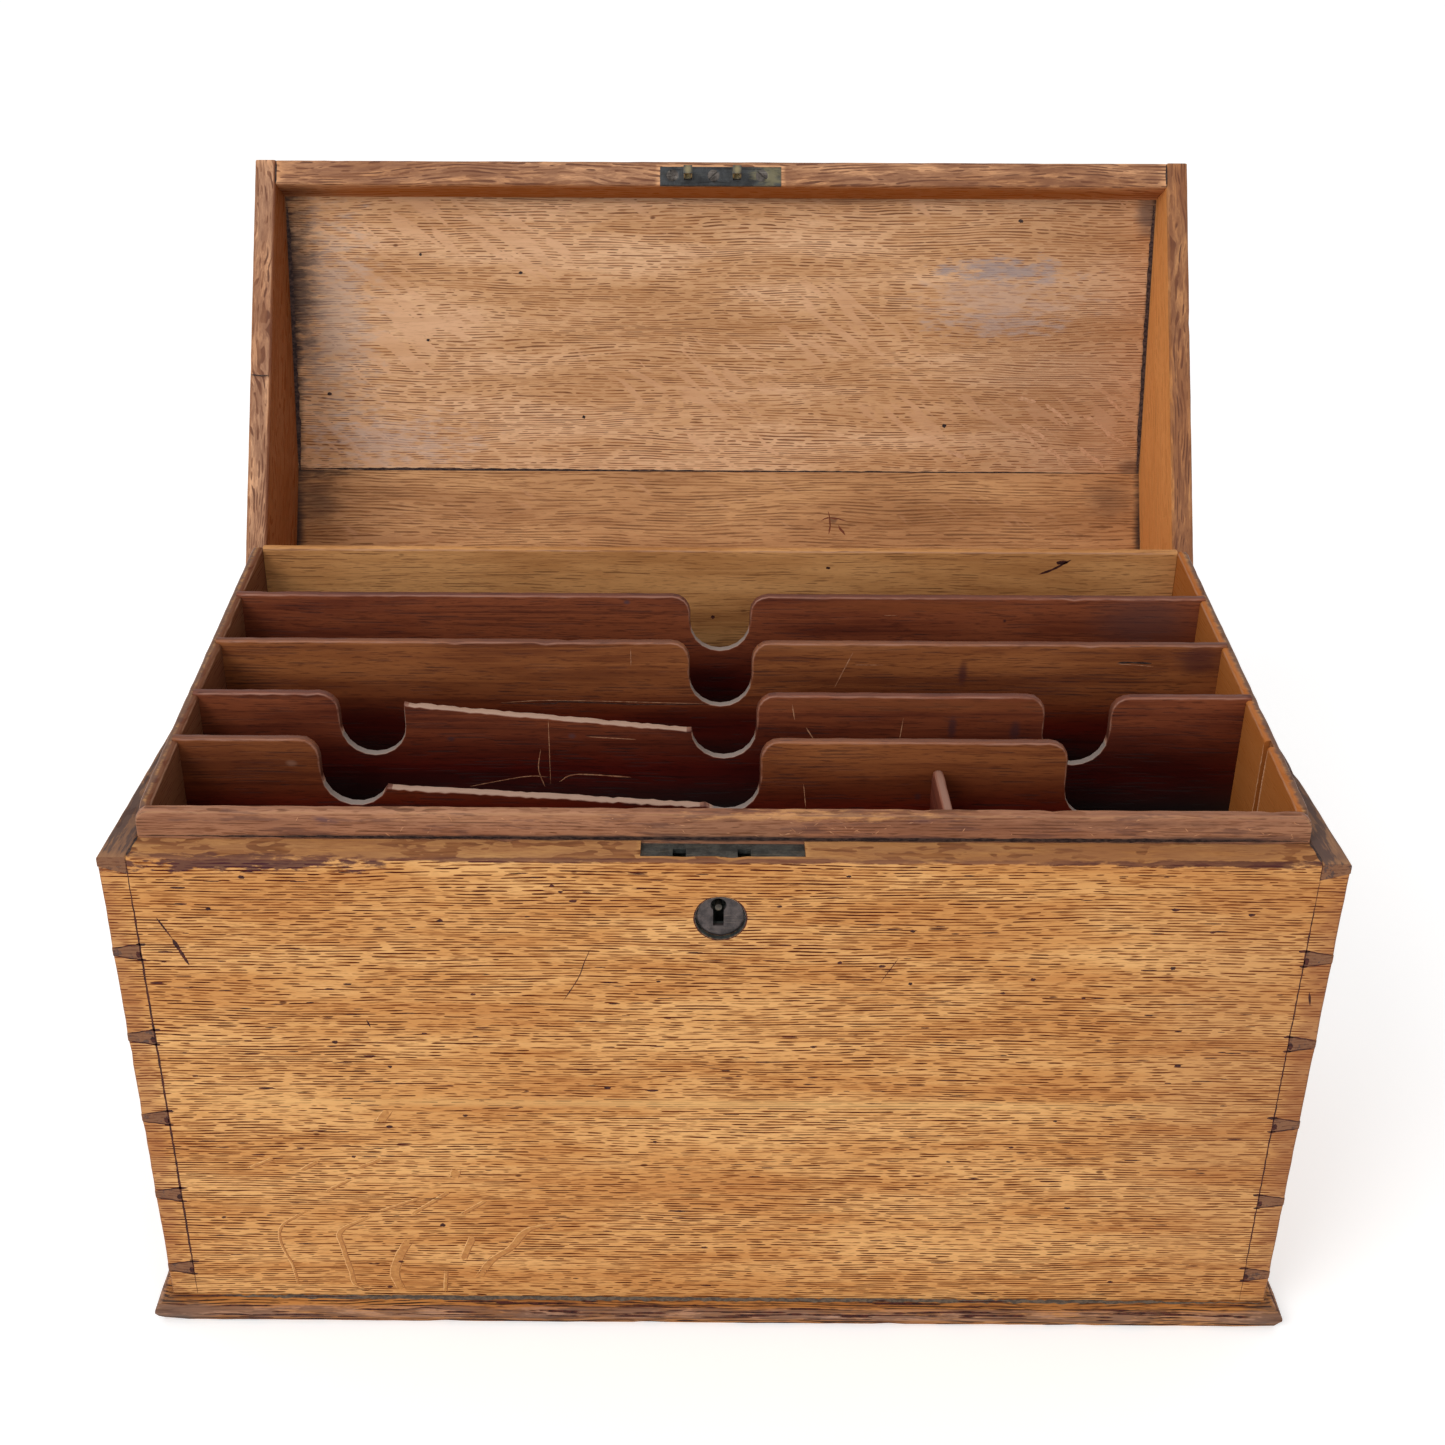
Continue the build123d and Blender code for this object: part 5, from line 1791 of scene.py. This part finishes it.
@dataclass
class Fittings:
    """The mahogany liners, the letter dividers and the short partition."""

    front_inside: float = -80.8
    back_inside: float = 83.5
    inner: float = 181.5
    liner: float = 4.0
    foot: float = 8.0
    wall_top: float = 189.0
    lip_rise: float = 9.4
    slope: float = math.tan(math.radians(7.4))
    liner_step: float = 0.8
    divider: float = 3.2
    rooms: tuple[float, ...] = (32.9, 22.5, 28.6, 27.7)
    notch_radius: float = 11.0
    shoulder: float = 6.8
    half_length: float = 179.4
    partition_x: float = 70.6
    partition_drop: float = 8.4

    def top(self, y: float) -> float:
        """Height of the sloping line of the fittings at a depth y."""
        return self.wall_top + self.lip_rise + (y - self.front_inside - self.liner / 2) * self.slope

    def divider_front(self, number: int) -> float:
        """Front face of a divider, counted from 1 at the front."""
        return self.front_inside + self.liner + sum(self.rooms[:number]) + (number - 1) * self.divider

    def front_liner(self) -> None:
        """Builds the front liner, whose top stands above the wall as the lip."""
        top, w = self.top(self.front_inside + self.liner / 2), self.inner
        near = [(-w, self.foot, Edge.TIGHT), (w, self.foot, Edge.SOFT)]
        near += arc((w - 4, top - 4), 4, 0, 90, Edge.CREST)
        near += arc((-w + 4, top - 4), 4, 90, 180, Edge.CREST)
        end_with(near, Edge.SOFT)
        seat = standing(self.front_inside)
        lip = BoardMaker(21).make("lip", near, self.liner, seat)
        dress(lip, "front_liner", WOODS["lip"], Grain.ACROSS, LIP_MARKS, 1.5)
        # A dark line along the lip's foot, where it leaves the wall: painted shade in the crevice.
        foot = Tracer(seat, 101)
        foot.line([(-180.6, 189.3), (-60, 189.25), (60, 189.35), (180.6, 189.6)], 0.32, 0.65, 0.2)
        foot.finish("lip_foot_shade_line", DARK_LINE, "mahogany_light")
        scuffs = Tracer(seat, 102, 0.035)
        rng = np.random.default_rng(103)
        for _ in range(70):
            u, v = float(np.clip(rng.normal(25, 80), -175, 175)), rng.uniform(190.6, 197.0)
            turn, length = rng.uniform(-1.2, 1.2), rng.uniform(0.5, 2.2)
            end = (u + length * math.cos(turn), min(197.3, v + length * math.sin(turn)))
            scuffs.line([(u, v), end], rng.uniform(0.06, 0.16))
        scuffs.finish("lip_scuffs", PALE_SCUFF, "mahogany_light")

    def back_liner(self) -> None:
        """Builds the back liner."""
        start = self.back_inside - self.liner
        top, w = self.top(start) - self.liner_step, self.inner - self.liner
        near = [(-w, self.foot, Edge.TIGHT), (w, self.foot, Edge.TIGHT)]
        near += [(w, top, Edge.CREST), (-w, top, Edge.TIGHT)]
        seat = standing(start)
        board = BoardMaker(22).make("back_lining", near, self.liner, seat)
        golden = replace(WOODS["liner"], pale=(214, 156, 98), middle=(190, 132, 78), deep=(154, 98, 54))
        dress(board, "back_liner", golden, Grain.ACROSS, shift=2.5)
        dents = Tracer(seat, 104)
        dents.dent(42.3, 210.9, 0.9, 0.6)
        dents.dent(-2.4, 189.5, 0.9, 0.8)
        dents.dent(133.0, 213.6, 2.4, 1.0)
        dents.line([(124.5, 208.6), (129.5, 210.6), (136.5, 214.8)], 0.4)
        dents.finish("back_lining_dents", DIRT, "mahogany_light")

    def side_liner(self, which: Side) -> None:
        """Builds a side liner with a groove for each divider.

        Args:
            which: the side that it stands on.
        """
        side = which.value
        front, back = self.front_inside + self.liner, self.back_inside
        low, high = self.top(front) - self.liner_step, self.top(back) - self.liner_step
        near = [(front, self.foot, Edge.TIGHT), (back, self.foot, Edge.TIGHT)]
        near += arc((back - 4, high - 4.5), 4, 0, 97, Edge.CREST)
        near += arc((front + 4, low - 3.5), 4, 97, 180, Edge.CREST)
        end_with(near, Edge.TIGHT)
        seat = side_on(side * (self.inner - self.liner), side)
        board = BoardMaker(24 + side).make(f"{which.word}_lining", near, self.liner, seat)
        face = self.inner - self.liner
        tools = []
        for number in range(1, len(self.rooms) + 1):
            y = self.divider_front(number)
            lows = sorted((side * (face - 1), side * (face + 2)))
            tools.append(block((lows[0], y - 0.1, 7), (lows[1], y + self.divider + 0.1, 225)))
        cut(board, *tools)
        # The left liner's inner face is painted dark: painted shade on the face turned from the light. The
        # right one's is a more golden colour.
        inside = (92, 42, 28) if side < 0 else (174, 98, 38)
        marks = (
            Mark((side * face, 0, 200), (2.6, 260, 60), inside, 0.85, 0.4),
            Mark((side * (self.inner + 0.4), 0, 200), (3.4, 260, 60), (96, 68, 60), 0.85, 0.5, 0.3),
        )
        dress(board, f"{which.word}_liner", WOODS["liner"], Grain.DEEP, marks, 3.5 + side)
        if side > 0:
            groove = Tracer(seat, 105)
            y = self.divider_front(1)
            for u, half_width in ((y - 0.5, 0.4), (y + self.divider + 0.4, 0.3)):
                groove.line([(u, 169.5), (u + 0.2, 185), (u, 201.0)], half_width, sway=0.5)
            groove.finish("groove_edges", PALE_SCUFF, "mahogany_light")

    def notch(self, x: float, depth: float, top: float) -> list[Corner]:
        """A whole finger notch with both its shoulders, from right to left."""
        hollow = self.hollow(x, top - depth + self.notch_radius, 0, -180, 11, Edge.SHOULDER)
        return [*self.shoulder_down(x, top), *hollow, *self.shoulder_up(x, top)]

    def shoulder_down(self, x: float, top: float) -> list[Corner]:
        """The round from a divider's top down into the right side of a notch at x."""
        s = self.shoulder
        return arc((x + self.notch_radius + s, top - s), s, 90, 180, Edge.SHOULDER)

    def shoulder_up(self, x: float, top: float) -> list[Corner]:
        """The round from the left side of a notch up to the divider's top.

        Args:
            x: the notch's middle along the divider.
            top: the height of the divider's top.

        Returns:
            Its corners, from right to left.
        """
        s = self.shoulder
        path = arc((x - self.notch_radius - s, top - s), s, 0, 90, Edge.SHOULDER)
        end_with(path, Edge.CREST)
        return path

    def hollow(self, x: float, z: float, start: float, end: float, count: int, last: Edge) -> list[Corner]:
        """The round of a notch.

        Args:
            x: its middle along the divider.
            z: its middle height.
            start: its first angle.
            end: its last angle.
            count: the number of points.
            last: the kind of edge that follows it.

        Returns:
            Its corners, from right to left.
        """
        path = arc((x, z), self.notch_radius, start, end, Edge.NOTCH, count)
        end_with(path, last)
        return path

    def letter_divider(self, number: int, path: Sequence[Corner]) -> None:
        """Builds one letter divider.

        Args:
            number: the divider's number from the front.
            path: its top line from the right end to the left, as heights.
        """
        y, w = self.divider_front(number), self.half_length
        near = [(-w, self.foot, Edge.TIGHT), (w, self.foot, Edge.TIGHT), *path]
        end_with(near, Edge.TIGHT)
        seat = standing(y)
        name = f"letter_board_{number}"
        board = BoardMaker(40 + number).make(name, near, self.divider, seat)
        marks = [
            Mark((x, y, z), (a, 3, b), colour, strength, 0.8, 0.15)
            for x, z, a, b, colour, strength in DIVIDER_MARKS[number]
        ]
        wood = WOODS["red divider" if number in (2, 4) else "brown divider"]
        dress(board, f"letter_divider_{number}", wood, Grain.ACROSS, marks, 4.0 * number - 4.0)
        ends = Tracer(seat, 85 + number)
        for side, top in ((-1, path[-1][1]), (1, path[0][1])):
            outer, inner = side * (w - 0.35), side * (w - 0.3)
            ends.line([(outer, 150), (inner, 175), (outer, top - 1.2)], 0.35)
        ends.finish(f"divider_ends_{number}", DARK_LINE, "mahogany")
        scratches = Tracer(seat, 90 + number)
        for points, half_width in DIVIDER_SCRATCHES[number]:
            scratches.line(points, half_width)
        scratches.finish(f"divider_scratches_{number}", PALE_SCRATCH, "mahogany")

    def dividers(self) -> None:
        """Builds the four letter dividers with their notches and broken tops."""
        w = self.half_length
        t1, t2, t3, t4 = (self.top(self.divider_front(n) + self.divider / 2) for n in (1, 2, 3, 4))
        path = [(w, t1 - 34.8, Edge.TORN), (124.4, t1 - 29.0, Edge.NOTCH)]
        path += self.hollow(124.4, t1 - 18.0, -90, -180, 6, Edge.SHOULDER)[1:]
        path += self.shoulder_up(124.4, t1) + self.shoulder_down(1.5, t1)
        path += self.hollow(1.5, t1 - 16.1, 0, -129, 8, Edge.TORN)
        path += self.hollow(-120.7, t1 - 14.0, -22.5, -180, 9, Edge.SHOULDER)
        path += self.shoulder_up(-120.7, t1)
        self.letter_divider(1, [*path, (-w, t1, Edge.TIGHT)])
        path = [(w, t2, Edge.CREST), *self.notch(121.2, 26.5, t2), *self.shoulder_down(0.9, t2)]
        path += self.hollow(0.9, t2 - 13.6, 0, -179, 11, Edge.TORN)
        path += [(-80.0, t2 - 7.1, Edge.TORN), (-108.0, t2 - 4.4, Edge.NOTCH)]
        path += self.hollow(-119.0, t2 - 13.0, 0, -180, 11, Edge.SHOULDER)
        path += self.shoulder_up(-119.0, t2)
        self.letter_divider(2, [*path, (-w, t2, Edge.TIGHT)])
        self.letter_divider(3, [(w, t3, Edge.CREST), *self.notch(0.0, 25.5, t3), (-w, t3, Edge.TIGHT)])
        self.letter_divider(4, [(w, t4, Edge.CREST), *self.notch(0.0, 22.5, t4), (-w, t4, Edge.TIGHT)])
        seat = standing(self.divider_front(3))
        cracks = Tracer(seat, 95, 0.035)
        cracks.line([(-5.6, 186.0), (-30, 185.6), (-58.0, 186.6), (-59.0, 185.7), (-80, 185.6)], 0.16)
        cracks.line([(141.2, 203.3), (145, 203.5), (153.4, 203.2)], 0.36)
        cracks.finish("divider_cracks", DARK_LINE, "mahogany")

    def partition(self) -> None:
        """Builds the short partition in the front room."""
        front, back = self.front_inside + self.liner, self.divider_front(1)
        top = self.top(back) - self.partition_drop
        near = [(front, self.foot, Edge.TIGHT), (back, self.foot, Edge.TIGHT)]
        near += arc((back - 4.5, top - 4.5), 4.5, 0, 90, Edge.CREST)
        near += [(front, top, Edge.TIGHT)]
        seat = side_on(self.partition_x - self.divider / 2, 1)
        board = BoardMaker(51).make("short_partition", near, self.divider, seat)
        # Its upward faces are painted pale: a painted highlight along its rounded top.
        wood = replace(
            WOODS["red divider"], pale=(158, 92, 70), middle=(138, 76, 58), top=(166, 130, 112),
            top_strength=0.8, depth_shade_to=168.0,
        )
        dress(board, "cross_partition", wood, Grain.DEEP, shift=2.0)

    def build(self) -> None:
        """Builds everything that is fitted inside."""
        self.front_liner()
        self.back_liner()
        self.side_liner(Side.LEFT)
        self.side_liner(Side.RIGHT)
        self.dividers()
        self.partition()


# ------------------------------ lid
# The grey of a painted reflection on the sloping board.
GREY_REFLECTION = (172, 150, 142)
SLOPE_MARKS = (
    Mark((150, -10, 226), (75, 120, 90), (150, 102, 70), 0.42, 0.9),
    # Painted reflection of the lamp on the finish, pale grey.
    Mark((-164, -34, 222), (24, 64, 40), (192, 172, 160), 0.5, 0.95, 0.8),
    # Painted shade at the left.
    Mark((-179, -50, 215), (13, 60, 34), (70, 54, 50), 0.8, 0.95, 0.5),
    # Painted reflection, pale.
    Mark((-142, 15, 236), (44, 14, 12), (214, 190, 176), 0.5, 0.9, 0.8, turn=-4),
    # Painted reflection, in three pale and grey patches.
    Mark((118, -44, 217), (40, 20, 11), (204, 172, 152), 0.55, 0.9, 0.8),
    Mark((121, -55, 214.1), (34, 7, 5), (150, 142, 146), 0.6, 0.9, 0.8),
    Mark((120, -33, 221.2), (30, 7, 5), GREY_REFLECTION, 0.5, 0.9, 0.8),
    Mark((178.9, -76.6, 207.1), (7, 12, 8), (96, 82, 78), 0.7, 0.8, 0.2),
    Mark((178.1, 25.8, 238.8), (8, 8, 6), (92, 66, 54), 0.6, 0.8, 0.2),
    # Painted shade in the corners where the board meets the side rails.
    Mark((-182.5, -20, 224), (5.5, 120, 80), (40, 28, 30), 0.92, 0.8, 0.3),
    Mark((182.5, -20, 224), (3.4, 120, 80), (48, 38, 38), 0.9, 0.7, 0.2),
    Mark((0, -82.4, 205.3), (220, 3.2, 3), (96, 60, 42), 0.5, 0.8, 0.1),
)
FLAT_MARKS = (
    # These four: painted shade along the side rails and at the board's left end.
    Mark((-182.5, 58, 239.3), (5.5, 60, 6), (40, 28, 32), 0.92, 0.8, 0.2),
    Mark((-176, 27, 239.3), (28, 6, 6), (48, 34, 34), 0.85, 0.9, 0.4),
    Mark((182.5, 58, 239.3), (4.5, 60, 6), (52, 38, 36), 0.9, 0.8, 0.2),
    Mark((-174, 40.5, 239.3), (16, 16, 6), (84, 58, 48), 0.65, 0.9, 0.3),
    Mark((169, 38.9, 239.3), (16, 12, 6), (108, 74, 54), 0.5, 0.9, 0.2),
    Mark((49.7, 48.1, 239.3), (2.4, 2.2, 3), (80, 46, 34), 0.6, 0.6, 0.1),
    Mark((0, 83.9, 239.3), (220, 6, 5), (84, 48, 28), 0.6, 0.9, 0.1),
)
RAIL_INSIDE = (158, 84, 14)
RAIL_OUTSIDE = (186, 128, 82)
FRONT_RAIL_MARKS = (
    Mark((0, -82.4, 199), (260, 1.6, 12), RAIL_INSIDE, 0.92, 0.5),
    Mark((-178, -82.4, 199), (26, 2.2, 12), (70, 40, 26), 0.6, 0.9, 0.1),
    Mark((0, -92.5, 199), (260, 1.5, 14), RAIL_OUTSIDE, 0.6, 0.4),
)

# Pale rays on the sloping board: place across and depth on the shut box.
SLOPE_RAYS = (
    ((98, 18), (107, 21)), ((125, 10), (132, 12), (139, 17), (145, 19), (150, 24), (154, 26)),
    ((155, 3), (162, 6), (168, 11), (173, 14), (176, 16)),
    ((155, 16), (160, 20), (165, 23), (166, 25)), ((140, -1), (146, 3), (150, 7)),
    ((166, -4), (171, 0), (173, 2)), ((130, 7), (138, 11), (141, 14)), ((128, -4), (136, -2)),
)

# Small dark dents on the sloping board: place across, depth on the shut box, half length and width.
SLOPE_PITS = (
    (-126, -60, 0.7, 0.7), (-84, -53, 1.0, 0.7), (-124, -26, 0.8, 0.6), (-167, -4, 1.1, 0.8),
    (-58, 5, 0.8, 0.7), (97, 8, 1.1, 0.9), (126, -74, 1.2, 0.8),
)


@dataclass
class Lid:
    """The sloping lid: four dovetailed rails and two boards, built shut and turned open."""

    half_width: float = 190.5
    half_depth: float = 92.5
    rim: float = 189.3
    side_thickness: float = 8.6
    front_thickness: float = 10.1
    back_thickness: float = 8.6
    board: float = 8.0
    front_height: float = 12.87
    front_inner_height: float = 16.0
    back_height: float = 50.0
    kink_y: float = 27.3
    half_pin_base: float = 3.6
    half_pin_tip: float = 2.4
    pin_base: float = 6.0
    pin_tip: float = 3.0
    bevel_start: float = 189.45
    bevel_end: float = 193.73
    bevel_near_y: float = 92.01
    bevel_far_y: float = 91.31

    def joints(self, height: float, pins: int) -> Joints:
        """The dovetails of a rail.

        Args:
            height: the rail's height.
            pins: how many whole pins it has between its half pins.

        Returns:
            The joints.
        """
        top = self.rim + height
        found = [(self.rim, 2 * self.half_pin_base, 2 * self.half_pin_tip)]
        places = [self.rim + height * (n + 1) / (pins + 1) for n in range(pins)]
        found += [(z, self.pin_base, self.pin_tip) for z in places]
        found.append((top, 2 * self.half_pin_base, 2 * self.half_pin_tip))
        return Joints(self.half_width - self.side_thickness, self.half_width, tuple(found))

    def front_rail(self) -> None:
        """Builds the front rail, which carries the link plate."""
        top, inner_top = self.rim + self.front_height, self.rim + self.front_inner_height
        joints = self.joints(self.front_height, 0)
        near = joints.tail_end(1, self.rim, top, Edge.SOFT) + joints.tail_end(-1, self.rim, top, Edge.SOFT)
        end_with(near, Edge.WORN)
        far = [(u, inner_top if v == top else v) for u, v, _ in near]
        seat = standing(-self.half_depth, True)
        rail = BoardMaker(61).make("lid_front_strip", near, self.front_thickness, seat, far)
        cut(rail, block((-24.75, -90.3, 188.0), (24.75, -82.0, 190.8), True))
        wood, across = WOODS["rail"], (0, 0.8, 0.6)
        dress(rail, "lid_front_rail", wood, Grain.ACROSS, FRONT_RAIL_MARKS, 6.0, across, "lid")

    def back_rail(self) -> None:
        """Builds the back rail, with the hinges' seats."""
        top = self.rim + self.back_height
        joints = self.joints(self.back_height, 2)
        near = joints.tail_end(1, self.rim, top, Edge.WORN) + joints.tail_end(-1, self.rim, top, Edge.WORN)
        start = self.half_depth - self.back_thickness
        seat = standing(start, True)
        rail = BoardMaker(62).make("lid_back_strip", near, self.back_thickness, seat)
        corner = (
            (HINGE_Y, 188.0), (HINGE_Y, self.bevel_start),
            (self.half_depth + 1, self.bevel_end + 1.71), (self.half_depth + 1, 188.0),
        )
        cut(rail, *hinge_cuts(corner, 188.0, 190.6, True))
        dress(rail, "lid_back_rail", WOODS["rail"], Grain.ACROSS, shift=7.0, body="lid")

    def side_rail(self, which: Side) -> None:
        """Builds a side rail, whose upper edge follows the boards.

        Args:
            which: the side that it stands on.
        """
        side = which.value
        front = -self.half_depth + self.front_thickness
        back = self.half_depth - self.back_thickness
        top, low_top = self.rim + self.back_height, self.rim + self.front_height
        depth, base, tip = self.half_depth, self.half_pin_base, self.half_pin_tip
        outline = SideOutline()
        outline.add(-depth, self.rim, Edge.WORN)
        outline.add(HINGE_Y, self.rim, Edge.TIGHT)
        outline.add(HINGE_Y, self.bevel_start, Edge.TIGHT)
        outline.add(self.bevel_near_y, self.rim + base, Edge.TIGHT, (self.bevel_far_y, self.rim + tip))
        outline.add(back, self.rim + base, Edge.TIGHT, (back, self.rim + tip))
        for n in (1, 2):
            z = self.rim + self.back_height * n / 3
            outline.pin(back, depth, z, self.pin_base, self.pin_tip, 1)
        outline.add(back, top - base, Edge.TIGHT, (back, top - tip))
        outline.add(depth, top - base, Edge.SOFT, (depth, top - tip))
        outline.add(depth, top, Edge.TIGHT)
        outline.add(self.kink_y, top, Edge.TIGHT)
        outline.add(-depth, low_top, Edge.SOFT)
        outline.add(-depth, low_top - base, Edge.TIGHT, (-depth, low_top - tip))
        outline.add(front, low_top - base, Edge.TIGHT, (front, low_top - tip))
        outline.add(front, self.rim + base, Edge.TIGHT, (front, self.rim + tip))
        outline.add(-depth, self.rim + base, Edge.SOFT, (-depth, self.rim + tip))
        inner = self.half_width - self.side_thickness
        seat = side_on(side * inner, side, True)
        maker, name = BoardMaker(65 + side), f"lid_{which.word}_strip"
        rail = maker.make(name, outline.near, self.side_thickness, seat, outline.far)
        # Light falls from the left: the left rail's inner face is painted dark as shade and the right rail's
        # bright golden as lit.
        inside = (128, 64, 10) if side < 0 else (232, 158, 86)
        marks = (
            Mark((side * inner, 0, 214), (1.6, 260, 70), inside, 0.9 if side < 0 else 0.75, 0.5),
            Mark((side * self.half_width, 0, 214), (1.5, 260, 70), RAIL_OUTSIDE, 0.68, 0.4),
        )
        wood = replace(WOODS["rail"], sway=6.0)
        # The right rail's darker wood and the left rail's paler wood paint the same light on their rims.
        if side > 0:
            wood = replace(wood, pale=(214, 154, 102), middle=(192, 130, 82))
        else:
            wood = replace(wood, pale=(244, 188, 144), middle=(230, 170, 124), deep=(166, 108, 72))
        dress(rail, f"lid_{which.word}_rail", wood, Grain.DEEP, marks, 9.0 + side, (0.8, 0, 0.6), "lid")

    def boards(self) -> None:
        """Builds the sloping board and the flat board, mitred together at the bend."""
        low = np.array((-self.half_depth, self.rim + self.front_height))
        kink = np.array((self.kink_y, self.rim + self.back_height))
        run = float(np.linalg.norm(kink - low))
        angle = math.atan2(kink[1] - low[1], kink[0] - low[0])
        lean = self.board * math.tan(angle)
        mitre = self.board * math.tan(angle / 2)
        w = self.half_width
        near = [(-w, 0.0, Edge.SOFT), (w, 0.0, Edge.SOFT), (w, run, Edge.TIGHT), (-w, run, Edge.SOFT)]
        far = [(-w, lean), (w, lean), (w, run + mitre), (-w, run + mitre)]
        up, through = (0, math.cos(angle), math.sin(angle)), (0, -math.sin(angle), math.cos(angle))
        seat = Seat((0, low[0], low[1]), (1, 0, 0), up, through, True)
        slope = BoardMaker(71).make("slope_board", near, self.board, seat, far, 3.0)
        dress(slope, "lid_slope_board", WOODS["lid"], Grain.ACROSS, SLOPE_MARKS, 0.5, up, "lid")
        dents = Tracer(seat, 83)
        for x, y, half_length, half_width in SLOPE_PITS:
            dents.dent(x, (y + self.half_depth) / math.cos(angle), half_length, half_width)
        inner = w - self.side_thickness
        dents.line([(-inner, run - 0.6), (-60, run - 0.1), (60, run), (inner, run)], 0.8, 0.35, 0.1)
        dents.finish("slope_joint_lines", DARK_LINE, "oak_lid")
        # Dark lines in the corners where the board meets the side rails: the joints, widened into painted
        # shade.
        shaded_joints = Tracer(seat, 84)
        for x, start_width, end_width in ((-inner + 0.7, 0.8, 1.2), (inner - 0.8, 0.9, 0.8)):
            places = [(x, lean + 10.5), (x, run * 0.5), (x, run)]
            shaded_joints.line(places, start_width, end_width, 0.3)
        shaded_joints.finish("slope_side_shade_lines", JOINT_SHADE_LINE, "oak_lid")
        rays = Tracer(seat, 89, 0.02)
        for points in SLOPE_RAYS:
            rays.line([(x, (y + self.half_depth) / math.cos(angle)) for x, y in points], 0.85, sway=0.3)
        rays.finish("slope_rays", PALE_RAY, "oak_lid")
        self.flat_board(kink, mitre)

    def flat_board(self, kink: np.ndarray, mitre: float) -> None:
        """Builds the flat board at the back, with its scratches, and the lines in the lid's rim.

        Args:
            kink: the depth and height of the bend.
            mitre: how far the boards' joint leans at the bend.
        """
        w, reach = self.half_width, self.half_depth - self.kink_y
        near = [(-w, 0.0, Edge.TIGHT), (w, 0.0, Edge.SOFT)]
        near += [(w, reach, Edge.SOFT), (-w, reach, Edge.SOFT)]
        far = [(-w, -mitre), (w, -mitre), (w, reach), (-w, reach)]
        seat = lying(kink[1], kink[0], True)
        flat = BoardMaker(72).make("flat_board", near, self.board, seat, far, 3.0)
        dress(flat, "lid_flat_board", WOODS["flat"], Grain.ACROSS, FLAT_MARKS, 4.5, (0, 1, 0), "lid")
        scratches = Tracer(lying(kink[1], leaning=True), 106)
        scratches.line([(44.5, 48.4), (49, 47.2), (55.4, 48.6)], 0.3, sway=0.4)
        scratches.line([(47.6, 44.2), (48.4, 49), (47.8, 54.4)], 0.3, sway=0.4)
        scratches.line([(52.0, 50.5), (54.9, 54.8)], 0.4, sway=0.4)
        scratches.finish("flat_board_scratches", RUST, "oak_lid")
        lines = Tracer(lying(self.rim, leaning=True), 107)
        lines.line([(-190.0, -3.4), (-186, -3.0), (-182.4, -3.1)], 0.24, sway=0.2)
        for sign in (-1, 1):
            places = [(sign * 181.9, -91.9), (sign * 181.8, -87), (sign * 181.9, -82.6)]
            lines.line(places, 0.3, sway=0.15)
        lines.finish("lid_rim_lines", DARK_LINE, "oak_lid")

    def build(self) -> None:
        """Builds the whole lid."""
        self.front_rail()
        self.back_rail()
        self.side_rail(Side.LEFT)
        self.side_rail(Side.RIGHT)
        self.boards()


# ------------------------------ metalwork
@dataclass
class Metalwork:
    """The box lock, its link plate, the hinges and all the screws, which keep their own shapes."""

    brass: tuple[str, ...] = (
        "lock_case", "lock_cap", "lock_bolt", "lock_key_pin", "lock_nozzle", "link_plate",
        "hinge_left_box_leaf", "hinge_right_box_leaf", "hinge_left_lid_leaf",
        "hinge_right_lid_leaf",
    )
    steel: tuple[str, ...] = (
        "lock_spring", "lock_screws", "link_plate_screws", "hinge_left_pin", "hinge_right_pin",
        "hinge_screws_box", "hinge_screws_lid", "base_screws",
    )

    finishes: dict[str, OldMetal] = field(
        default_factory=lambda: {
            "lock_case": DULL_BRASS,
            "lock_cap": DULL_BRASS,
            "lock_nozzle": DARK_BRASS,
            "link_plate": BLACK_BRASS,
        }
    )
    staples: Point2 = (-13.35, 6.6)
    staple_y: float = -86.55
    staple_z: float = 184.6

    def build(self) -> None:
        """Dresses every fitting and screw."""
        for node in self.brass:
            marks: list[Mark] = []
            if node == "link_plate":
                # The two staples are painted paler brass: a painted highlight on them.
                places = opened(np.array([(x, self.staple_y, self.staple_z) for x in self.staples]))
                reach, colour = (3.2, 4.4, 4.4), (186, 168, 118)
                marks = [Mark(tuple(place), reach, colour, 0.8, 0.4) for place in places]
                patch = opened(np.array([(20.0, self.staple_y, 189.3)]))[0]
                marks.append(Mark(tuple(patch), (9.0, 5.0, 5.0), (140, 130, 94), 0.65, 0.7, 0.5))
            dress_node(node, self.finishes.get(node, BRASS).material(node, marks), 0.25)
        for node in self.steel:
            dress_node(node, STEEL.material(node), 0.1)


def main() -> None:
    """Builds the studio and every piece in order."""
    logging.basicConfig(level=logging.INFO, format="%(message)s")
    Studio().build()
    Carcass().build()
    BaseBoard().build()
    Fittings().build()
    Lid().build()
    Metalwork().build()
    bpy.context.view_layer.update()


if __name__ == "__main__":
    main()
